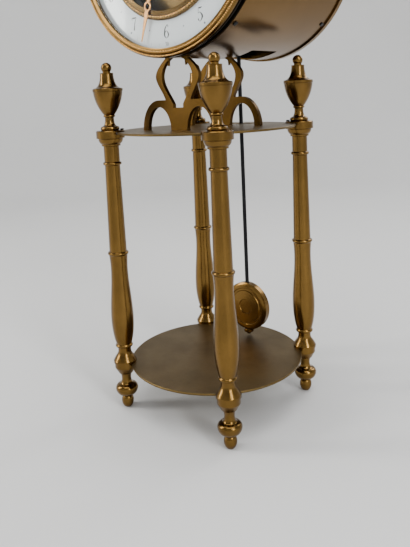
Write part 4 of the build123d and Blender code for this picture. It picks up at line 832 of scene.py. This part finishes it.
@dataclass
class Studio:
    """The pale floor that curves up into its own backdrop, the soft lights and the camera."""

    floor_radius: float = 0.95
    cove_radius: float = 0.55
    cove_steps: int = 14
    cove_sides: int = 96
    wall_height: float = 1.7
    aim_point: Point3 = (0.0, 0.0, 0.2)
    frame_size: Point2 = (410.0, 547.0)
    focal_pixels: float = 613.73
    axis_pixel: Point2 = (205.0, 176.0)
    eye: Point3 = (0.26135, -0.31857, 0.21389)
    yaw: float = 0.69246
    pitch: float = 0.13282
    roll: float = -0.04598
    sensor: float = 36.0

    def build(self) -> None:
        """Makes everything that isn't the clock."""
        self._cove()
        self._lights()
        self._world()
        self._camera()

    def _cove(self) -> None:
        """A round studio cove, the same from every side."""
        profile = [(0.0, 0.0), (self.floor_radius * 0.5, 0.0), (self.floor_radius, 0.0)]
        for step in range(1, self.cove_steps + 1):
            turn = math.pi / 2 * step / self.cove_steps
            profile.append(
                (
                    self.floor_radius + self.cove_radius * math.sin(turn),
                    self.cove_radius * (1 - math.cos(turn)),
                )
            )
        profile.append((self.floor_radius + self.cove_radius, self.wall_height))
        mesh = bpy.data.meshes.new("studio_cove")
        shape = bmesh.new()
        rings = []
        around = self.cove_sides
        for radius, height in profile[1:]:
            ring = []
            for step in range(around):
                turn = 2 * math.pi * step / around
                place = (radius * math.cos(turn), radius * math.sin(turn), height)
                ring.append(shape.verts.new(place))
            rings.append(ring)
        shape.faces.new(rings[0])
        for low, high in zip(rings, rings[1:]):
            for step in range(around):
                after = (step + 1) % around
                shape.faces.new((low[step], low[after], high[after], high[step]))
        bmesh.ops.recalc_face_normals(shape, faces=shape.faces)
        bottom = min(shape.faces, key=lambda face: face.calc_center_median().z)
        if bottom.normal.z < 0:
            bmesh.ops.reverse_faces(shape, faces=shape.faces)
        for face in shape.faces:
            face.smooth = face is not bottom
        shape.to_mesh(mesh)
        shape.free()
        material, sheet = blank_material("studio_paper")
        place = sheet.add("ShaderNodeTexCoord", output="Object")
        drift = sheet.add(
            "ShaderNodeTexNoise", sockets={"Vector": place, "Scale": 3.0, "Detail": 3.0}
        )
        colour = sheet.add(
            "ShaderNodeMix",
            {"data_type": "RGBA"},
            {
                "Factor": drift,
                FIRST_COLOUR: (0.58, 0.582, 0.578, 1.0),
                SECOND_COLOUR: (0.63, 0.632, 0.628, 1.0),
            },
            output=COLOUR_RESULT,
        )
        surface = sheet.add(
            "ShaderNodeBsdfPrincipled", sockets={"Base Color": colour, "Roughness": 0.55}
        )
        finish_material(sheet, surface)
        piece_from("studio_cove", mesh, material)

    def _lights(self) -> None:
        """A broad ceiling light and tall window-like panels at the sides."""
        panels = (
            ("ceiling", (0.1, -0.1, 1.35), (1.1, 1.1), 16.0, (1.0, 0.99, 0.97)),
            ("left_window", (-0.95, -0.75, 0.75), (0.26, 0.9), 13.0, (1.0, 0.98, 0.95)),
            ("right_window", (1.0, -0.35, 0.8), (0.22, 0.9), 10.0, (0.97, 0.98, 1.0)),
            ("back_window", (0.2, 1.05, 0.8), (0.5, 0.6), 5.0, (1.0, 1.0, 1.0)),
        )
        for name, place, size, power, colour in panels:
            light = bpy.data.lights.new(name, "AREA")
            light.shape = "RECTANGLE"
            light.size, light.size_y = size
            light.energy = power
            light.color = colour
            lamp = bpy.data.objects.new(name, light)
            lamp.location = place
            aim = Vector(self.aim_point) - Vector(place)
            lamp.rotation_euler = aim.to_track_quat("-Z", "Y").to_euler()
            bpy.context.scene.collection.objects.link(lamp)

    def _world(self) -> None:
        """A dim pale surround."""
        world = bpy.data.worlds.new("studio_air")
        world.use_nodes = True
        world.node_tree.nodes.clear()
        sheet = Sheet(world.node_tree)
        glow = sheet.add(
            "ShaderNodeBackground", sockets={"Color": (0.93, 0.95, 1.0, 1.0), "Strength": 0.40}
        )
        sheet.add("ShaderNodeOutputWorld", sockets={"Surface": glow}, output=None)
        bpy.context.scene.world = world

    def _camera(self) -> None:
        """The camera, where the photograph was taken from."""
        data = bpy.data.cameras.new("camera")
        width, height = self.frame_size
        data.sensor_width = self.sensor
        data.lens = self.sensor * self.focal_pixels / height
        data.shift_x = (width / 2 - self.axis_pixel[0]) / height
        data.shift_y = -(height / 2 - self.axis_pixel[1]) / height
        data.clip_start = 0.01
        camera = bpy.data.objects.new("camera", data)
        forward = Vector(
            (
                -math.sin(self.yaw) * math.cos(self.pitch),
                math.cos(self.yaw) * math.cos(self.pitch),
                -math.sin(self.pitch),
            )
        )
        level = Vector((math.cos(self.yaw), math.sin(self.yaw), 0.0))
        upward = level.cross(forward)
        right = math.cos(self.roll) * level + math.sin(self.roll) * upward
        top = -math.sin(self.roll) * level + math.cos(self.roll) * upward
        turn = Matrix((right, top, -forward)).transposed().to_4x4()
        camera.matrix_world = Matrix.Translation(Vector(self.eye)) @ turn
        bpy.context.scene.collection.objects.link(camera)
        bpy.context.scene.camera = camera


@dataclass
class DialPrint:
    """Everything fired onto the white dial: figures, dots and minute strokes."""

    finishes: Finishes
    level: float = DIAL_LEVEL
    front: float = -34.25 * MM
    film: float = 0.04 * MM
    hour_circle: float = 55.0 * MM
    hour_height: float = 8.2 * MM
    quarter_circle: float = 62.6 * MM
    quarter_height: float = 2.7 * MM
    dot_circle: float = 61.2 * MM
    stroke_circle: float = 62.9 * MM
    dot_radius: float = 0.62 * MM
    half_dot_radius: float = 0.42 * MM
    stroke_size: Point2 = (1.9 * MM, 0.20 * MM)

    def _figures(
        self, name: str, numbers: Mapping[float, str], circle: float, height: float
    ) -> None:
        """Writes one circle of upright numbers.

        Args:
            name: The piece's name.
            numbers: Each number by its turn from the top, in degrees.
            circle: The radius that their middles stand on.
            height: The height of their figures.
        """
        shape = bmesh.new()
        pen = PenFigures()
        for turn, text in numbers.items():
            angle = math.radians(turn)
            centre = (circle * math.sin(angle), self.level + circle * math.cos(angle))
            pen.write(shape, text, centre, height, self.front - self.film)
        bmesh.ops.recalc_face_normals(shape, faces=shape.faces)
        for face in shape.faces:
            if face.normal.y > 0:
                face.normal_flip()
        grown = bmesh.ops.extrude_face_region(shape, geom=list(shape.faces), use_keep_orig=True)
        moved = [item for item in grown["geom"] if isinstance(item, bmesh.types.BMVert)]
        bmesh.ops.translate(shape, verts=moved, vec=(0.0, self.film * 0.8, 0.0))
        bmesh.ops.recalc_face_normals(shape, faces=shape.faces)
        mesh = bpy.data.meshes.new(name)
        shape.to_mesh(mesh)
        shape.free()
        settle(piece_from(name, mesh, self.finishes["ink"]), Body.FRAME)

    def build(self) -> None:
        """Makes the figures, the dots and the strokes."""
        hours = {30.0 * hour: str(hour) for hour in range(1, 13)}
        self._figures("hour_figures", hours, self.hour_circle, self.hour_height)
        quarters = {90.0 * quarter: str(15 * quarter) for quarter in range(1, 5)}
        self._figures("quarter_figures", quarters, self.quarter_circle, self.quarter_height)
        centre = (0.0, self.front - self.film / 2, self.level)
        dot = (self.dot_radius, self.dot_radius, self.film)
        half_dot = (self.half_dot_radius, self.half_dot_radius, self.film)
        stroke = (*self.stroke_size, self.film)
        half_turn = math.radians(15)
        rings = (
            (
                "five_minute_dots",
                MarkRing(MarkShape.DOT, 12, self.dot_circle, dot, centre, skip_every=3),
                "pale_ink",
            ),
            (
                "half_hour_dots",
                MarkRing(
                    MarkShape.DOT, 12, self.hour_circle, half_dot, centre, start_turn=half_turn
                ),
                "pale_ink",
            ),
            (
                "minute_strokes",
                MarkRing(MarkShape.BAR, 60, self.stroke_circle, stroke, centre, skip_every=5),
                "faint_ink",
            ),
        )
        for name, marks, finish in rings:
            settle(marks.grow(name, self.finishes[finish]), Body.FRAME)


@dataclass
class BeadedRings:
    """The rows of small beads on the bezel and on the dial's inner ring."""

    finishes: Finishes
    level: float = DIAL_LEVEL
    bezel_front: float = -37.9 * MM
    inner_front: float = -36.15 * MM
    outer_row: Point2 = (69.85 * MM, 0.66 * MM)
    second_row: Point2 = (67.2 * MM, 0.58 * MM)
    inner_row: Point2 = (46.3 * MM, 0.95 * MM)
    bead_sink: float = 0.25

    def build(self) -> None:
        """Makes the bead rows, each on the body that carries it."""
        rows = (
            ("bezel_outer_beads", self.outer_row, self.bezel_front, 1.42, Body.BEZEL),
            ("bezel_inner_beads", self.second_row, self.bezel_front, 1.30, Body.BEZEL),
            ("dial_ring_beads", self.inner_row, self.inner_front, 2.20, Body.FRAME),
        )
        for name, (radius, bead), front, pitch, body in rows:
            count = round(2 * math.pi * radius / (pitch * MM))
            centre = (0.0, front + bead * self.bead_sink, self.level)
            marks = MarkRing(MarkShape.BEAD, count, radius, (bead, bead, bead), centre)
            settle(marks.grow(name, self.finishes["bead_gilt"]), body)


@dataclass
class SmallWork:
    """Painted shade for the slots in the screw heads on the capitals, as thin near-black bars laid
    on the heads, and the knurl of the rating nut.
    """

    finishes: Finishes
    screw_spread: float = 39.5 * MM
    screw_top: float = 193.9 * MM
    slot_size: Point3 = (0.35 * MM, 2.2 * MM, 0.06 * MM)
    nut_centre: Point3 = (0.0, 40.0 * MM, 36.7 * MM)
    nut_radius: float = 3.4 * MM
    knurl_size: Point3 = (0.28 * MM, 0.28 * MM, 1.9 * MM)

    def build(self) -> None:
        """Makes the near-black bars of painted slot shade and the knurl."""
        # The screw slots are not cut: near-black bars laid just above the heads are painted shade
        # for them.
        slot_shade_ring = MarkRing(
            MarkShape.BAR,
            4,
            self.screw_spread * math.sqrt(2),
            self.slot_size,
            (0.0, 0.0, self.screw_top + 0.01 * MM),
            facing=FLAT_ON_FLOOR,
            start_turn=math.pi / 4,
        )
        slot_shade_piece = slot_shade_ring.grow("capital_screw_slot_shade", self.finishes["dark_brass"])
        settle(slot_shade_piece, Body.FRAME)
        knurl = MarkRing(
            MarkShape.BAR,
            36,
            self.nut_radius - 0.05 * MM,
            self.knurl_size,
            self.nut_centre,
            facing=FLAT_ON_FLOOR,
        )
        settle(knurl.grow("rating_nut_knurl", self.finishes["gilt_brass"]), Body.NUT)


def main() -> None:
    """Builds the clock's dressing and its studio in order."""
    logging.basicConfig(level=logging.INFO, format="%(name)s: %(message)s")
    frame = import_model()
    finishes = Finishes()
    finishes.dress(frame)
    DialPrint(finishes).build()
    BeadedRings(finishes).build()
    SmallWork(finishes).build()
    Studio().build()


if __name__ == "__main__":
    main()
